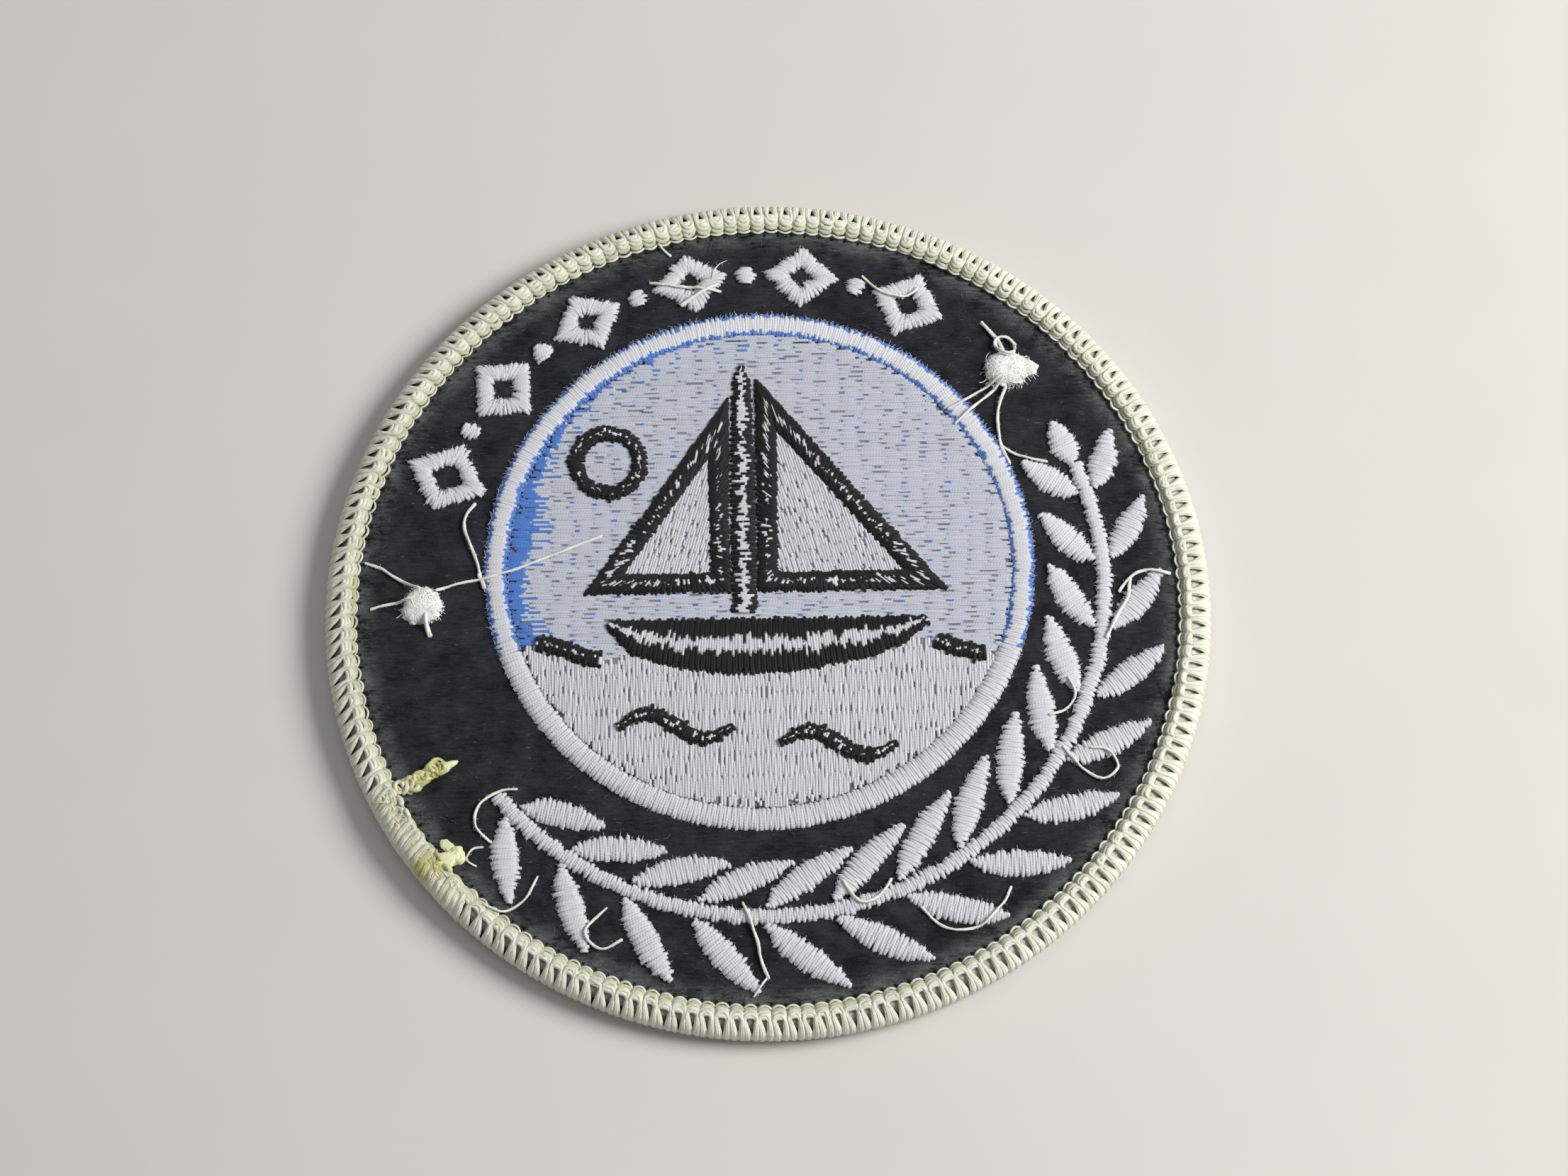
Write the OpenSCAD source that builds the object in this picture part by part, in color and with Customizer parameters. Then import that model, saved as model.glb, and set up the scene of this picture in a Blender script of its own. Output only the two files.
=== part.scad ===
// Round embroidered patch with an overlocked edge, lying face down, so that its reverse is uppermost.
// X runs to the right and Y up the picture as it is seen from the reverse, and Z is up.
// The origin is on the surface that the patch lies on, under the middle of its outline.

/* [Outline] */
// Diameter over the overlocked edge
patch_d = 89; // [80:1:102]
// Radial width of the overlocked edge
border_w = 3.4; // [3:0.1:4.4]
// How far the overlocked edge stands proud of the cloth on each face
border_proud = 0.62; // [0.6:0.02:0.9]
// Radius of the overlocked edge's round outer side
border_round = 1.3; // [0.8:0.1:1.4]

/* [Cloth] */
// Thickness of the twill that carries the embroidery
twill_t = 1; // [0.9:0.05:1.3]
// Thickness of the felted backing that shows on the reverse
felt_t = 1; // [0.9:0.05:1.3]
// How far the cloth reaches in under the overlocked edge
cloth_tuck = 2.2; // [1.6:0.1:2.4]

/* [Embroidery] */
// Height of the filled grounds above the cloth
fill_h = 0.22; // [0.15:0.01:0.25]
// Height of a satin column above what it is sewn on
satin_h = 0.32; // [0.2:0.01:0.34]
// Width of the black lines round the sails
line_w = 2.1; // [1.6:0.1:2.6]
// Width of the mast
mast_w = 2.6; // [2:0.1:3.2]
// Width of the horizon and of the wave crests
wave_w = 1.7; // [1.3:0.1:2.1]
// Width of the line round the sun
sun_line_w = 1.5; // [1.1:0.1:2]

/* [Medallion] */
// Diameter over the medallion's satin ring
medallion_d = 55.4; // [50:0.2:58]
// Width of the satin ring
ring_w = 2.3; // [1.8:0.1:2.8]
// Distance of the medallion's middle to the left of the patch's middle
medallion_left = 0.8; // [0:0.05:1.5]
// Distance of the medallion's middle above the patch's middle
medallion_up = 4.6; // [2:0.1:5.2]

/* [Leaf garland] */
// Width of the garland's stem
stem_w = 1.4; // [1:0.1:1.8]
// Width of a leaf at its fullest
leaf_w = 2.7; // [2:0.1:3.2]
// Angle between a leaf and the stem
leaf_angle = 42; // [34:1:50]
// Bare cloth between the ornaments and the edge or the medallion
band_margin = 1.2; // [0.8:0.1:1.6]

/* [Lozenges] */
// Width of a lozenge's satin line
lozenge_line_w = 1.5; // [1.1:0.1:1.8]
// Width of a lozenge, along the edge of the patch
lozenge_w = 7.6; // [6.5:0.1:8.2]
// Diameter of the small dots between the lozenges
dot_d = 1.8; // [1.4:0.1:2.2]
// Diameter of the two larger dots that part the garland from the lozenges
knot_d = 3.4; // [2.6:0.1:4]

/* [Joined edge] */
// How much wider the edge is, inwards, where its two ends are lapped
lap_in = 0.6; // [0.3:0.05:0.9]
// How much thicker the edge is there, on the reverse
lap_up = 0.25; // [0.1:0.05:0.4]
// Length of the thread chain that is left where the edge starts
tail_l = 4.8; // [3:0.1:6]
// Width of that chain
tail_w = 1.4; // [1:0.1:1.8]
// Length of the glue dab that holds the edge's other end
glue_l = 2.6; // [1.6:0.1:3]
// Width of the glue dab
glue_w = 1.4; // [1:0.1:1.8]

/* [Hidden] */
$fn = 96;

// Clearance between pieces that lie side by side
gap = 0.08;

patch_r = patch_d / 2;
border_in = patch_r - border_w;
border_t = twill_t + felt_t + 2 * border_proud;
cloth_r = border_in + cloth_tuck;
cloth_low = border_proud;
felt_low = cloth_low + twill_t;
felt_top = felt_low + felt_t;

medallion_r = medallion_d / 2;
medallion_at = [-medallion_left, medallion_up];
medallion_dir = atan2(medallion_up, -medallion_left);
ring_mid = medallion_r - ring_w / 2;
field_r = medallion_r - ring_w - gap;

// Directions from the patch's middle, in degrees anticlockwise from the right
lap_from = 205;
lap_to = 224;
glue_at = 216;
garland_from = 215;
garland_to = 386;
first_pair_at = 219;
last_pair_at = 381;
lozenge_from = 66;
lozenge_to = 155;
knot_left_at = 178;
knot_right_at = 47;

// Where the ring changes from blue to white, in degrees round the medallion's middle
ring_blue_from = -19;
ring_blue_to = 199;

leaf_pairs = 14;
lozenges = 6;

// The picture's places, across and up, as shares of the field's radius from the medallion's middle
mast_foot = [-0.06, -0.19];
mast_head = [-0.06, 0.86];
main_sail_top = 0.70;
main_sail_corner = [0.66, -0.06];
fore_sail_top = 0.60;
fore_sail_corner = [-0.62, -0.06];
hull_bow = [-0.60, -0.21];
hull_stern = [0.66, -0.21];
sun_at = [-0.60, 0.46];
crest_left_at = [-0.34, -0.66];
crest_right_at = [0.30, -0.74];

// Sizes in the picture, as shares of the field's radius
horizon_y = -0.34;
hull_depth = 0.24;
sun_r = 0.13;
swell_h = 0.035;
swell_l = 0.5;
crest_h = 0.055;
crest_l = 0.46;

// How a satin shape narrows to its ends, as shares of its full width
hull_end = 0.16;
crest_end = 0.4;
leaf_end = 0.12;
glue_end = 0.45;
mast_shoulder = 0.7;
mast_tip = 0.2;
tail_waist = 0.6;

// Share of its length at which the mast starts to narrow
mast_shoulder_at = 0.94;

// How far a leaf bends back to the stem, as a share of its length
leaf_bend = 0.1;

// Most of a lozenge's inscribed radius that its satin line may take, so that its middle stays open
widest_line = 0.8;

// Length of the garland's end leaf, in leaf widths
tip_leaf_l = 1.8;

// Heights of the thin parts, as shares of a satin column's height
sail_h = 0.4;
tail_h = 1.6;
glue_h = 1.4;
dot_wall = 0.6;
dot_top = 0.72;

THREAD_WHITE = "#dcdce4";
THREAD_BLACK = "#141418";
THREAD_BLUE = "#4a7fd0";
THREAD_CREAM = "#dfdfc2";
CLOTH_BLACK = "#2b2b32";
GLUE_YELLOW = "#cfcf86";

LEAF_NAMES = [for (i = [1:leaf_pairs]) str("leaf_pair_", i < 10 ? "0" : "", i)];
LOZENGE_NAMES = [for (i = [1:lozenges]) str("lozenge_", i)];
DOT_NAMES = [for (i = [1:lozenges - 1]) str("dot_", i)];

function polar(r, a) = [r * cos(a), r * sin(a)];
function between(a, b, t) = a + (b - a) * t;
function turned(v, a) = [v[0] * cos(a) - v[1] * sin(a), v[0] * sin(a) + v[1] * cos(a)];
function in_field(p) = medallion_at + field_r * p;
function narrowed(t, end, fullness, lean = 1) =
    end + (1 - end) * pow(abs(sin(180 * pow(t, lean))), fullness);

// The band of bare cloth between the medallion and the overlocked edge, along a ray from the patch's middle
function medallion_reach(a) =
    let (off = norm(medallion_at), lean = a - medallion_dir)
    off * cos(lean) + sqrt(pow(medallion_r, 2) - pow(off * sin(lean), 2));
function band_mid(a) = (border_in + medallion_reach(a)) / 2;
function band_half(a) = (border_in - medallion_reach(a)) / 2;

// The way from one point of a path to another, or nothing where they are the same
function way(a, b) = a == b ? [0, 0] : (b - a) / norm(b - a);

// The mitred sideways direction at a point of a path
function side_at(path, i, closed) =
    let (
        n = len(path),
        into = way(path[closed ? (i + n - 1) % n : max(i - 1, 0)], path[i]),
        out = way(path[i], path[closed ? (i + 1) % n : min(i + 1, n - 1)]),
        along = (into + out) / norm(into + out),
        leg = norm(into) > 0 ? into : out
    )
    [-along[1], along[0]] / (along * leg);

// Section of a satin column, as shares of its width and its height
SATIN_SECTION = [[-0.5, 0], [-0.42, 0.62], [0, 1], [0.42, 0.62], [0.5, 0]];

// A satin column: the section, swept along a path with a width at each of its points
module satin(path, widths, height, closed = false) {
    n = len(path);
    k = len(SATIN_SECTION);
    points = [
        for (i = [0:n - 1], s = SATIN_SECTION)
            let (p = path[i] + side_at(path, i, closed) * s[0] * widths[i])
            [p[0], p[1], s[1] * height]
    ];
    walls = [
        for (i = [0:(closed ? n - 1 : n - 2)], j = [0:k - 1], half = [0, 1])
            let (
                a = i * k + j,
                b = i * k + (j + 1) % k,
                c = ((i + 1) % n) * k + (j + 1) % k,
                d = ((i + 1) % n) * k + j
            )
            half == 0 ? [a, b, c] : [a, c, d]
    ];
    caps = closed ? [] : [[for (j = [k - 1:-1:0]) j], [for (j = [0:k - 1]) (n - 1) * k + j]];
    polyhedron(points, concat(walls, caps));
}

// The same stitches on the reverse and, mirrored through the cloth, on the face
module both_faces(above_cloth = 0) {
    translate([0, 0, felt_top + above_cloth]) children();
    translate([0, 0, cloth_low - above_cloth]) mirror([0, 0, 1]) children();
}

module ground_cloth() {
    color(CLOTH_BLACK) translate([0, 0, cloth_low]) cylinder(h = twill_t, r = cloth_r);
}

module backing() {
    color(CLOTH_BLACK) translate([0, 0, felt_low]) cylinder(h = felt_t, r = cloth_r);
}

// Section of the edge: round outside, pressed flat on both faces, with round lips and a slot for the cloth
module edge_section(inner, thick) {
    lip_r = border_proud / 2;
    flat_from = inner + lip_r;
    flat_to = patch_r - border_round;
    difference() {
        union() {
            translate([flat_from, 0]) square([flat_to - flat_from, thick]);
            for (z = [lip_r, thick - lip_r]) translate([flat_from, z]) circle(r = lip_r);
            for (z = [border_round, thick - border_round]) translate([flat_to, z]) circle(r = border_round);
            translate([flat_to, border_round]) square([border_round, thick - 2 * border_round]);
        }
        translate([inner - gap, cloth_low]) square([cloth_r - inner + 2 * gap, twill_t + felt_t]);
    }
}

module merrow_border() {
    color(THREAD_CREAM) rotate([0, 0, lap_to])
        rotate_extrude(angle = 360 - (lap_to - lap_from)) edge_section(border_in, border_t);
}

module border_lap() {
    color(THREAD_CREAM) rotate([0, 0, lap_from])
        rotate_extrude(angle = lap_to - lap_from) edge_section(border_in - lap_in, border_t + lap_up);
}

// The inner side of the lap, at which the loose chain and the glue dab start
lap_edge_r = border_in - lap_in - gap;

// The chain of loose thread that is turned inwards over the backing, beside the end of the lap
module border_tail() {
    steps = 6;
    at = lap_from + asin((tail_w / 2 + gap) / lap_edge_r);
    path = [for (i = [0:steps]) polar(lap_edge_r - tail_l * i / steps, at)];
    widths = [for (i = [0:steps]) tail_w * (i % 2 == 0 ? 1 : tail_waist)];
    color(THREAD_CREAM) translate([0, 0, felt_top]) satin(path, widths, satin_h * tail_h);
}

module glue_dab() {
    steps = 6;
    r = lap_edge_r - glue_w / 2;
    span = glue_l / r * 180 / PI;
    path = [for (i = [0:steps]) polar(r, glue_at + span * (i / steps - 0.5))];
    widths = [for (i = [0:steps]) glue_w * narrowed(i / steps, glue_end, 1)];
    color(GLUE_YELLOW) translate([0, 0, felt_top]) satin(path, widths, satin_h * glue_h);
}

function swell(x) = horizon_y + swell_h * sin(360 * x / swell_l);

// Half of the medallion's field, above the horizon (side 1) or below it (side -1)
module field_half(side) {
    steps = 48;
    reach = 1.1;
    shore = [
        for (i = [0:steps])
            let (x = between(-reach, reach, i / steps))
            in_field([x, swell(x)]) + [0, side * gap / 2]
    ];
    far = [in_field([reach, side * reach]), in_field([-reach, side * reach])];
    intersection() {
        translate(medallion_at) circle(r = field_r);
        polygon(concat(shore, far));
    }
}

module sky_fill() {
    color(THREAD_WHITE) both_faces() linear_extrude(fill_h) field_half(1);
}

module sea_fill() {
    color(THREAD_WHITE) both_faces() linear_extrude(fill_h) field_half(-1);
}

module ring_arc(from, to) {
    section = [for (s = SATIN_SECTION) [ring_mid + s[0] * ring_w, s[1] * satin_h]];
    translate(medallion_at) rotate([0, 0, from]) rotate_extrude(angle = to - from) polygon(section);
}

module ring_blue() {
    color(THREAD_BLUE) both_faces() ring_arc(ring_blue_from, ring_blue_to);
}

module ring_white() {
    joint = asin(gap / ring_mid);
    color(THREAD_WHITE) both_faces() ring_arc(ring_blue_to + joint, 360 + ring_blue_from - joint);
}

// A stretch of the horizon's line, between two places across the field
module horizon(x_from, x_to) {
    steps = 7;
    path = [
        for (i = [0:steps])
            let (x = between(x_from, x_to, i / steps))
            in_field([x, swell(x)])
    ];
    color(THREAD_BLACK) both_faces(fill_h) satin(path, [for (p = path) wave_w], satin_h);
}

// The horizon's line stops clear of the hull and of the ring
wave_clear = (wave_w / 2 + gap) / field_r;
horizon_end = sqrt(1 - pow(abs(horizon_y) + swell_h, 2)) - wave_clear;

module horizon_left() {
    horizon(-horizon_end, hull_bow[0] - wave_clear);
}

module horizon_right() {
    horizon(hull_stern[0] + wave_clear, horizon_end);
}

// The hull hangs from a level rail, with a raked bow and a blunter stern
module hull() {
    steps = 12;
    rake = 0.85;
    fullness = 0.6;
    depths = [for (i = [0:steps]) field_r * hull_depth * narrowed(i / steps, hull_end, fullness, rake)];
    path = [for (i = [0:steps]) in_field(between(hull_bow, hull_stern, i / steps)) - [0, depths[i] / 2]];
    color(THREAD_BLACK) both_faces(fill_h) satin(path, depths, satin_h);
}

module mast() {
    foot = in_field(mast_foot);
    head = in_field(mast_head);
    path = [foot, between(foot, head, 0.5), between(foot, head, mast_shoulder_at), head];
    widths = mast_w * [1, 1, mast_shoulder, mast_tip];
    color(THREAD_BLACK) both_faces(fill_h) satin(path, widths, satin_h);
}

// The three corners of a sail's edge line: by the masthead, at the outer corner and by the mast's foot
function sail_corners(outer, top, side) =
    let (
        beside = side * (mast_w / 2 + line_w / 2 + gap),
        x = in_field(mast_foot)[0] + beside,
        low = in_field(outer)
    )
    [[x, in_field([0, top])[1]], low, [x, low[1]]];

// A triangle drawn in by a distance all round, towards the middle of its inscribed circle
function drawn_in(t, d) =
    let (
        a = norm(t[1] - t[2]),
        b = norm(t[2] - t[0]),
        c = norm(t[0] - t[1]),
        middle = (a * t[0] + b * t[1] + c * t[2]) / (a + b + c),
        half = (a + b + c) / 2,
        inscribed = sqrt((half - a) * (half - b) * (half - c) / half)
    )
    [for (p = t) middle + (p - middle) * (inscribed - d) / inscribed];

module sail(corners) {
    color(THREAD_WHITE) both_faces(fill_h) linear_extrude(satin_h * sail_h)
        polygon(drawn_in(corners, line_w / 2 + gap));
}

module sail_edge(corners) {
    color(THREAD_BLACK) both_faces(fill_h) satin(corners, [for (p = corners) line_w], satin_h, closed = true);
}

main_corners = sail_corners(main_sail_corner, main_sail_top, 1);
fore_corners = sail_corners(fore_sail_corner, fore_sail_top, -1);

module main_sail() {
    sail(main_corners);
}

module main_sail_edge() {
    sail_edge(main_corners);
}

module fore_sail() {
    sail(fore_corners);
}

module fore_sail_edge() {
    sail_edge(fore_corners);
}

module sun() {
    steps = 16;
    path = [for (i = [0:steps - 1]) in_field(sun_at) + polar(sun_r * field_r, 360 * i / steps)];
    color(THREAD_BLACK) both_faces(fill_h) satin(path, [for (p = path) sun_line_w], satin_h, closed = true);
}

module wave_crest(at) {
    steps = 8;
    path = [
        for (i = [0:steps])
            let (t = i / steps)
            in_field(at + [crest_l * (t - 0.5), crest_h * sin(360 * t)])
    ];
    widths = [for (i = [0:steps]) wave_w * narrowed(i / steps, crest_end, 1)];
    color(THREAD_BLACK) both_faces(fill_h) satin(path, widths, satin_h);
}

module wave_crest_left() {
    wave_crest(crest_left_at);
}

module wave_crest_right() {
    wave_crest(crest_right_at);
}

module garland_stem() {
    steps = 44;
    path = [
        for (i = [0:steps])
            let (a = between(garland_from, garland_to, i / steps))
            polar(band_mid(a), a)
    ];
    color(THREAD_WHITE) both_faces() satin(path, [for (p = path) stem_w], satin_h);
}

// A leaf from its foot: pointed at both ends, fullest before its middle and bent a little towards the stem
module leaf(foot, heading, length, bend) {
    steps = 6;
    lean = 0.9;
    fullness = 0.8;
    path = [
        for (i = [0:steps])
            let (t = i / steps)
            foot + turned([length * t, bend * length * t * t], heading)
    ];
    widths = [for (i = [0:steps]) leaf_w * narrowed(i / steps, leaf_end, fullness, lean)];
    both_faces() satin(path, widths, satin_h);
}

// Two leaves that spring from the stem, as long as the band has room for
module leaf_pair(i) {
    a = between(first_pair_at, last_pair_at, (i - 1) / (leaf_pairs - 1));
    heading = a + 90;
    out = stem_w / 2 + gap + leaf_w * leaf_end / 2;
    length = (band_half(a) - band_margin - out) / sin(leaf_angle);
    for (side = [-1, 1]) {
        foot = polar(band_mid(a), a) + turned([0, side * out], heading);
        color(THREAD_WHITE) leaf(foot, heading + side * leaf_angle, length, -side * leaf_bend);
    }
}

module garland_tip() {
    heading = garland_to + 90;
    foot = polar(band_mid(garland_to), garland_to) + turned([2 * gap, 0], heading);
    color(THREAD_WHITE) leaf(foot, heading, leaf_w * tip_leaf_l, 0);
}

function lozenge_dir(i) = between(lozenge_from, lozenge_to, (i - 1) / (lozenges - 1));

module lozenge(i) {
    a = lozenge_dir(i);
    radial = band_half(a) - band_margin;
    sideways = lozenge_w / 2;
    inscribed = radial * sideways / norm([radial, sideways]);
    line = min(lozenge_line_w, inscribed * widest_line);
    inset = 1 - line / 2 / inscribed;
    corners = [[radial, 0], [0, sideways], [-radial, 0], [0, -sideways]];
    path = [for (p = corners) polar(band_mid(a), a) + turned(inset * p, a)];
    color(THREAD_WHITE) both_faces() satin(path, [for (p = path) line], satin_h, closed = true);
}

module band_dot(a, d) {
    color(THREAD_WHITE) both_faces() translate(polar(band_mid(a), a)) {
        cylinder(h = satin_h * dot_wall, r = d / 2);
        translate([0, 0, satin_h * dot_wall])
            cylinder(h = satin_h * (1 - dot_wall), r1 = d / 2, r2 = d / 2 * dot_top);
    }
}

module dot(i) {
    band_dot((lozenge_dir(i) + lozenge_dir(i + 1)) / 2, dot_d);
}

module knot_dot_left() {
    band_dot(knot_left_at, knot_d);
}

module knot_dot_right() {
    band_dot(knot_right_at, knot_d);
}

ground_cloth();
backing();
merrow_border();
border_lap();
border_tail();
glue_dab();
sky_fill();
sea_fill();
ring_blue();
ring_white();
horizon_left();
horizon_right();
hull();
mast();
main_sail();
main_sail_edge();
fore_sail();
fore_sail_edge();
sun();
wave_crest_left();
wave_crest_right();
garland_stem();
garland_tip();
knot_dot_left();
knot_dot_right();
for (i = [1:leaf_pairs]) leaf_pair(i);
for (i = [1:lozenges]) lozenge(i);
for (i = [1:lozenges - 1]) dot(i);
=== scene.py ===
import sys
import logging
import math
import random
from collections.abc import Callable, Iterable, Sequence
from dataclasses import dataclass, field, replace
from enum import Enum
from typing import ClassVar

import bpy
import numpy as np
from mathutils import Matrix, Vector
from mathutils.kdtree import KDTree


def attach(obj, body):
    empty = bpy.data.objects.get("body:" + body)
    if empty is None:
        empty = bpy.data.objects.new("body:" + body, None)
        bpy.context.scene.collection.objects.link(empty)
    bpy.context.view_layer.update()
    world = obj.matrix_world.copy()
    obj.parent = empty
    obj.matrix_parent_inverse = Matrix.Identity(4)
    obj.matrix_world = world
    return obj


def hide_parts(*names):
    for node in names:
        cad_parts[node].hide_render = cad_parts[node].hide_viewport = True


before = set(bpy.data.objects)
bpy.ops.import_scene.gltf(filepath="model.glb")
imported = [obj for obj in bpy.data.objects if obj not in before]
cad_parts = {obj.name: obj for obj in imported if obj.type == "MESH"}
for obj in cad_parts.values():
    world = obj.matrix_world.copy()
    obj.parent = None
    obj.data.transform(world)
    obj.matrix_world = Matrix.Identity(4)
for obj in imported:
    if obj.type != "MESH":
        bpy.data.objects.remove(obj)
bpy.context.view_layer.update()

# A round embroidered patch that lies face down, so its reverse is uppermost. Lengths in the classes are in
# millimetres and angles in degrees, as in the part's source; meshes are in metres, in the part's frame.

log = logging.getLogger("patch")

MM = 0.001
SEED = 20
TURN = 360.0
GOLDEN_ANGLE = 137.5

Place = tuple[float, float]
Spot = tuple[float, float, float]
Colour = tuple[float, float, float]
Inside = Callable[[np.ndarray, np.ndarray], np.ndarray]

apart = math.dist


def linear(red: float, green: float, blue: float) -> Colour:
    """Turns a colour as a screen shows it into the linear one that shaders use."""
    return tuple(c / 12.92 if c <= 0.04045 else ((c + 0.055) / 1.055) ** 2.4 for c in (red, green, blue))


def clamp(value: float, low: float = 0.0, high: float = 1.0) -> float:
    """Keeps a value between two others."""
    return min(max(value, low), high)


def between(a: float, b: float, t: float) -> float:
    """The value at share t of the way from a to b."""
    return a + (b - a) * t


def cosine(degrees: float) -> float:
    """Cosine of an angle in degrees."""
    return math.cos(math.radians(degrees))


def sine(degrees: float) -> float:
    """Sine of an angle in degrees."""
    return math.sin(math.radians(degrees))


def polar(radius: float, angle: float) -> Place:
    """The place at a radius and an angle."""
    return radius * cosine(angle), radius * sine(angle)


def turned(place: Place, angle: float) -> Place:
    """A place turned about the origin."""
    x, y = place
    return x * cosine(angle) - y * sine(angle), x * sine(angle) + y * cosine(angle)


def shifted(a: Place, b: Place, share: float = 1.0) -> Place:
    """Place a moved by a share of b."""
    return a[0] + b[0] * share, a[1] + b[1] * share


def midway(a: Place, b: Place, t: float) -> Place:
    """The place at share t of the way from a to b."""
    return between(a[0], b[0], t), between(a[1], b[1], t)


def shares(count: int) -> list[float]:
    """Evenly spaced values from 0 to 1, with so many steps between them."""
    return [i / count for i in range(count + 1)]


def smooth_step(value: float) -> float:
    """Eases a value between 0 and 1."""
    t = clamp(value)
    return t * t * (3 - 2 * t)


# ---- Node trees


def operator(operation: str, flipped: bool = False) -> Callable[["Wire", "Wire | float"], "Wire"]:
    """Makes one of a wire's operators.

    Args:
        operation: the Math node's operation.
        flipped: whether the other value comes first, as in 1 - mask.

    Returns:
        The operator's method.
    """

    def method(self: "Wire", other: "Wire | float") -> "Wire":
        """This value and another put through a Math node."""
        return self.bench.maths(operation, *((other, self) if flipped else (self, other)))

    return method


@dataclass(eq=False)
class Wire:
    """A node's output socket that Python's arithmetic works on."""

    bench: "Bench"
    socket: bpy.types.NodeSocket

    __add__ = __radd__ = operator("ADD")
    __mul__ = __rmul__ = operator("MULTIPLY")
    __sub__, __rsub__ = operator("SUBTRACT"), operator("SUBTRACT", flipped=True)
    __truediv__, __rtruediv__ = operator("DIVIDE"), operator("DIVIDE", flipped=True)
    __pow__ = operator("POWER")

    def clamped(self) -> "Wire":
        """This value kept between 0 and 1."""
        return self.bench.maths("ADD", self, 0.0, clamped=True)

    def wave(self) -> "Wire":
        """The sine of this value, in radians."""
        return self.bench.maths("SINE", self)

    def size(self) -> "Wire":
        """This value without its sign."""
        return self.bench.maths("ABSOLUTE", self)


@dataclass
class Bench:
    """A node tree that is being wired up."""

    tree: bpy.types.NodeTree

    @staticmethod
    def socket(sockets: Iterable[bpy.types.NodeSocket], key: str | int) -> bpy.types.NodeSocket:
        """A node's socket, by its number, its identifier or its name."""
        return next((s for s in sockets if s.identifier == key), None) or sockets[key]

    def feed(self, socket: bpy.types.NodeSocket, value: Wire | float | tuple) -> None:
        """Links an input or sets its value.

        Args:
            socket: the input.
            value: a wire, or the value.
        """
        if isinstance(value, Wire):
            self.tree.links.new(value.socket, socket)
        else:
            socket.default_value = (*value, 1.0) if socket.type == "RGBA" else value

    def node(
        self, kind: str, settings: dict | None = None, inputs: dict | None = None, out: str | int = 0
    ) -> Wire:
        """Adds a node.

        Args:
            kind: the node's type.
            settings: its properties, which are set first.
            inputs: a value or a wire for each input that isn't left as it is.
            out: which output to return.

        Returns:
            The output.
        """
        made = self.tree.nodes.new(kind)
        for name, value in (settings or {}).items():
            setattr(made, name, value)
        for key, value in (inputs or {}).items():
            self.feed(self.socket(made.inputs, key), value)
        return Wire(self, self.socket(made.outputs, out) if made.outputs else None)

    def maths(self, operation: str, *values: Wire | float, clamped: bool = False) -> Wire:
        """Values put through a Math node, whose result may be kept between 0 and 1."""
        settings = {"operation": operation, "use_clamp": clamped}
        return self.node("ShaderNodeMath", settings, dict(enumerate(values)))

    def vector(self, x: Wire | float, y: Wire | float, z: Wire | float) -> Wire:
        """Three values as a vector."""
        return self.node("ShaderNodeCombineXYZ", None, {0: x, 1: y, 2: z})

    def parts(self, vector: Wire) -> list[Wire]:
        """A vector's three values."""
        first = self.node("ShaderNodeSeparateXYZ", None, {0: vector})
        return [Wire(self, output) for output in first.socket.node.outputs]

    def vector_maths(self, operation: str, *values: Wire | tuple | float) -> Wire:
        """Vectors put through a Vector Math node, of which SCALE takes a vector and a number."""
        inputs = {0: values[0], "Scale": values[1]} if operation == "SCALE" else dict(enumerate(values))
        return self.node("ShaderNodeVectorMath", {"operation": operation}, inputs)

    def noise(self, place: Wire, scale: float, detail: float = 2.0, rough: float = 0.5) -> Wire:
        """Noise from 0 to 1, with so many bumps to a unit and finer layers of a given strength."""
        inputs = {"Vector": place, "Scale": scale, "Detail": detail, "Roughness": rough}
        return self.node("ShaderNodeTexNoise", None, inputs)


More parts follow.
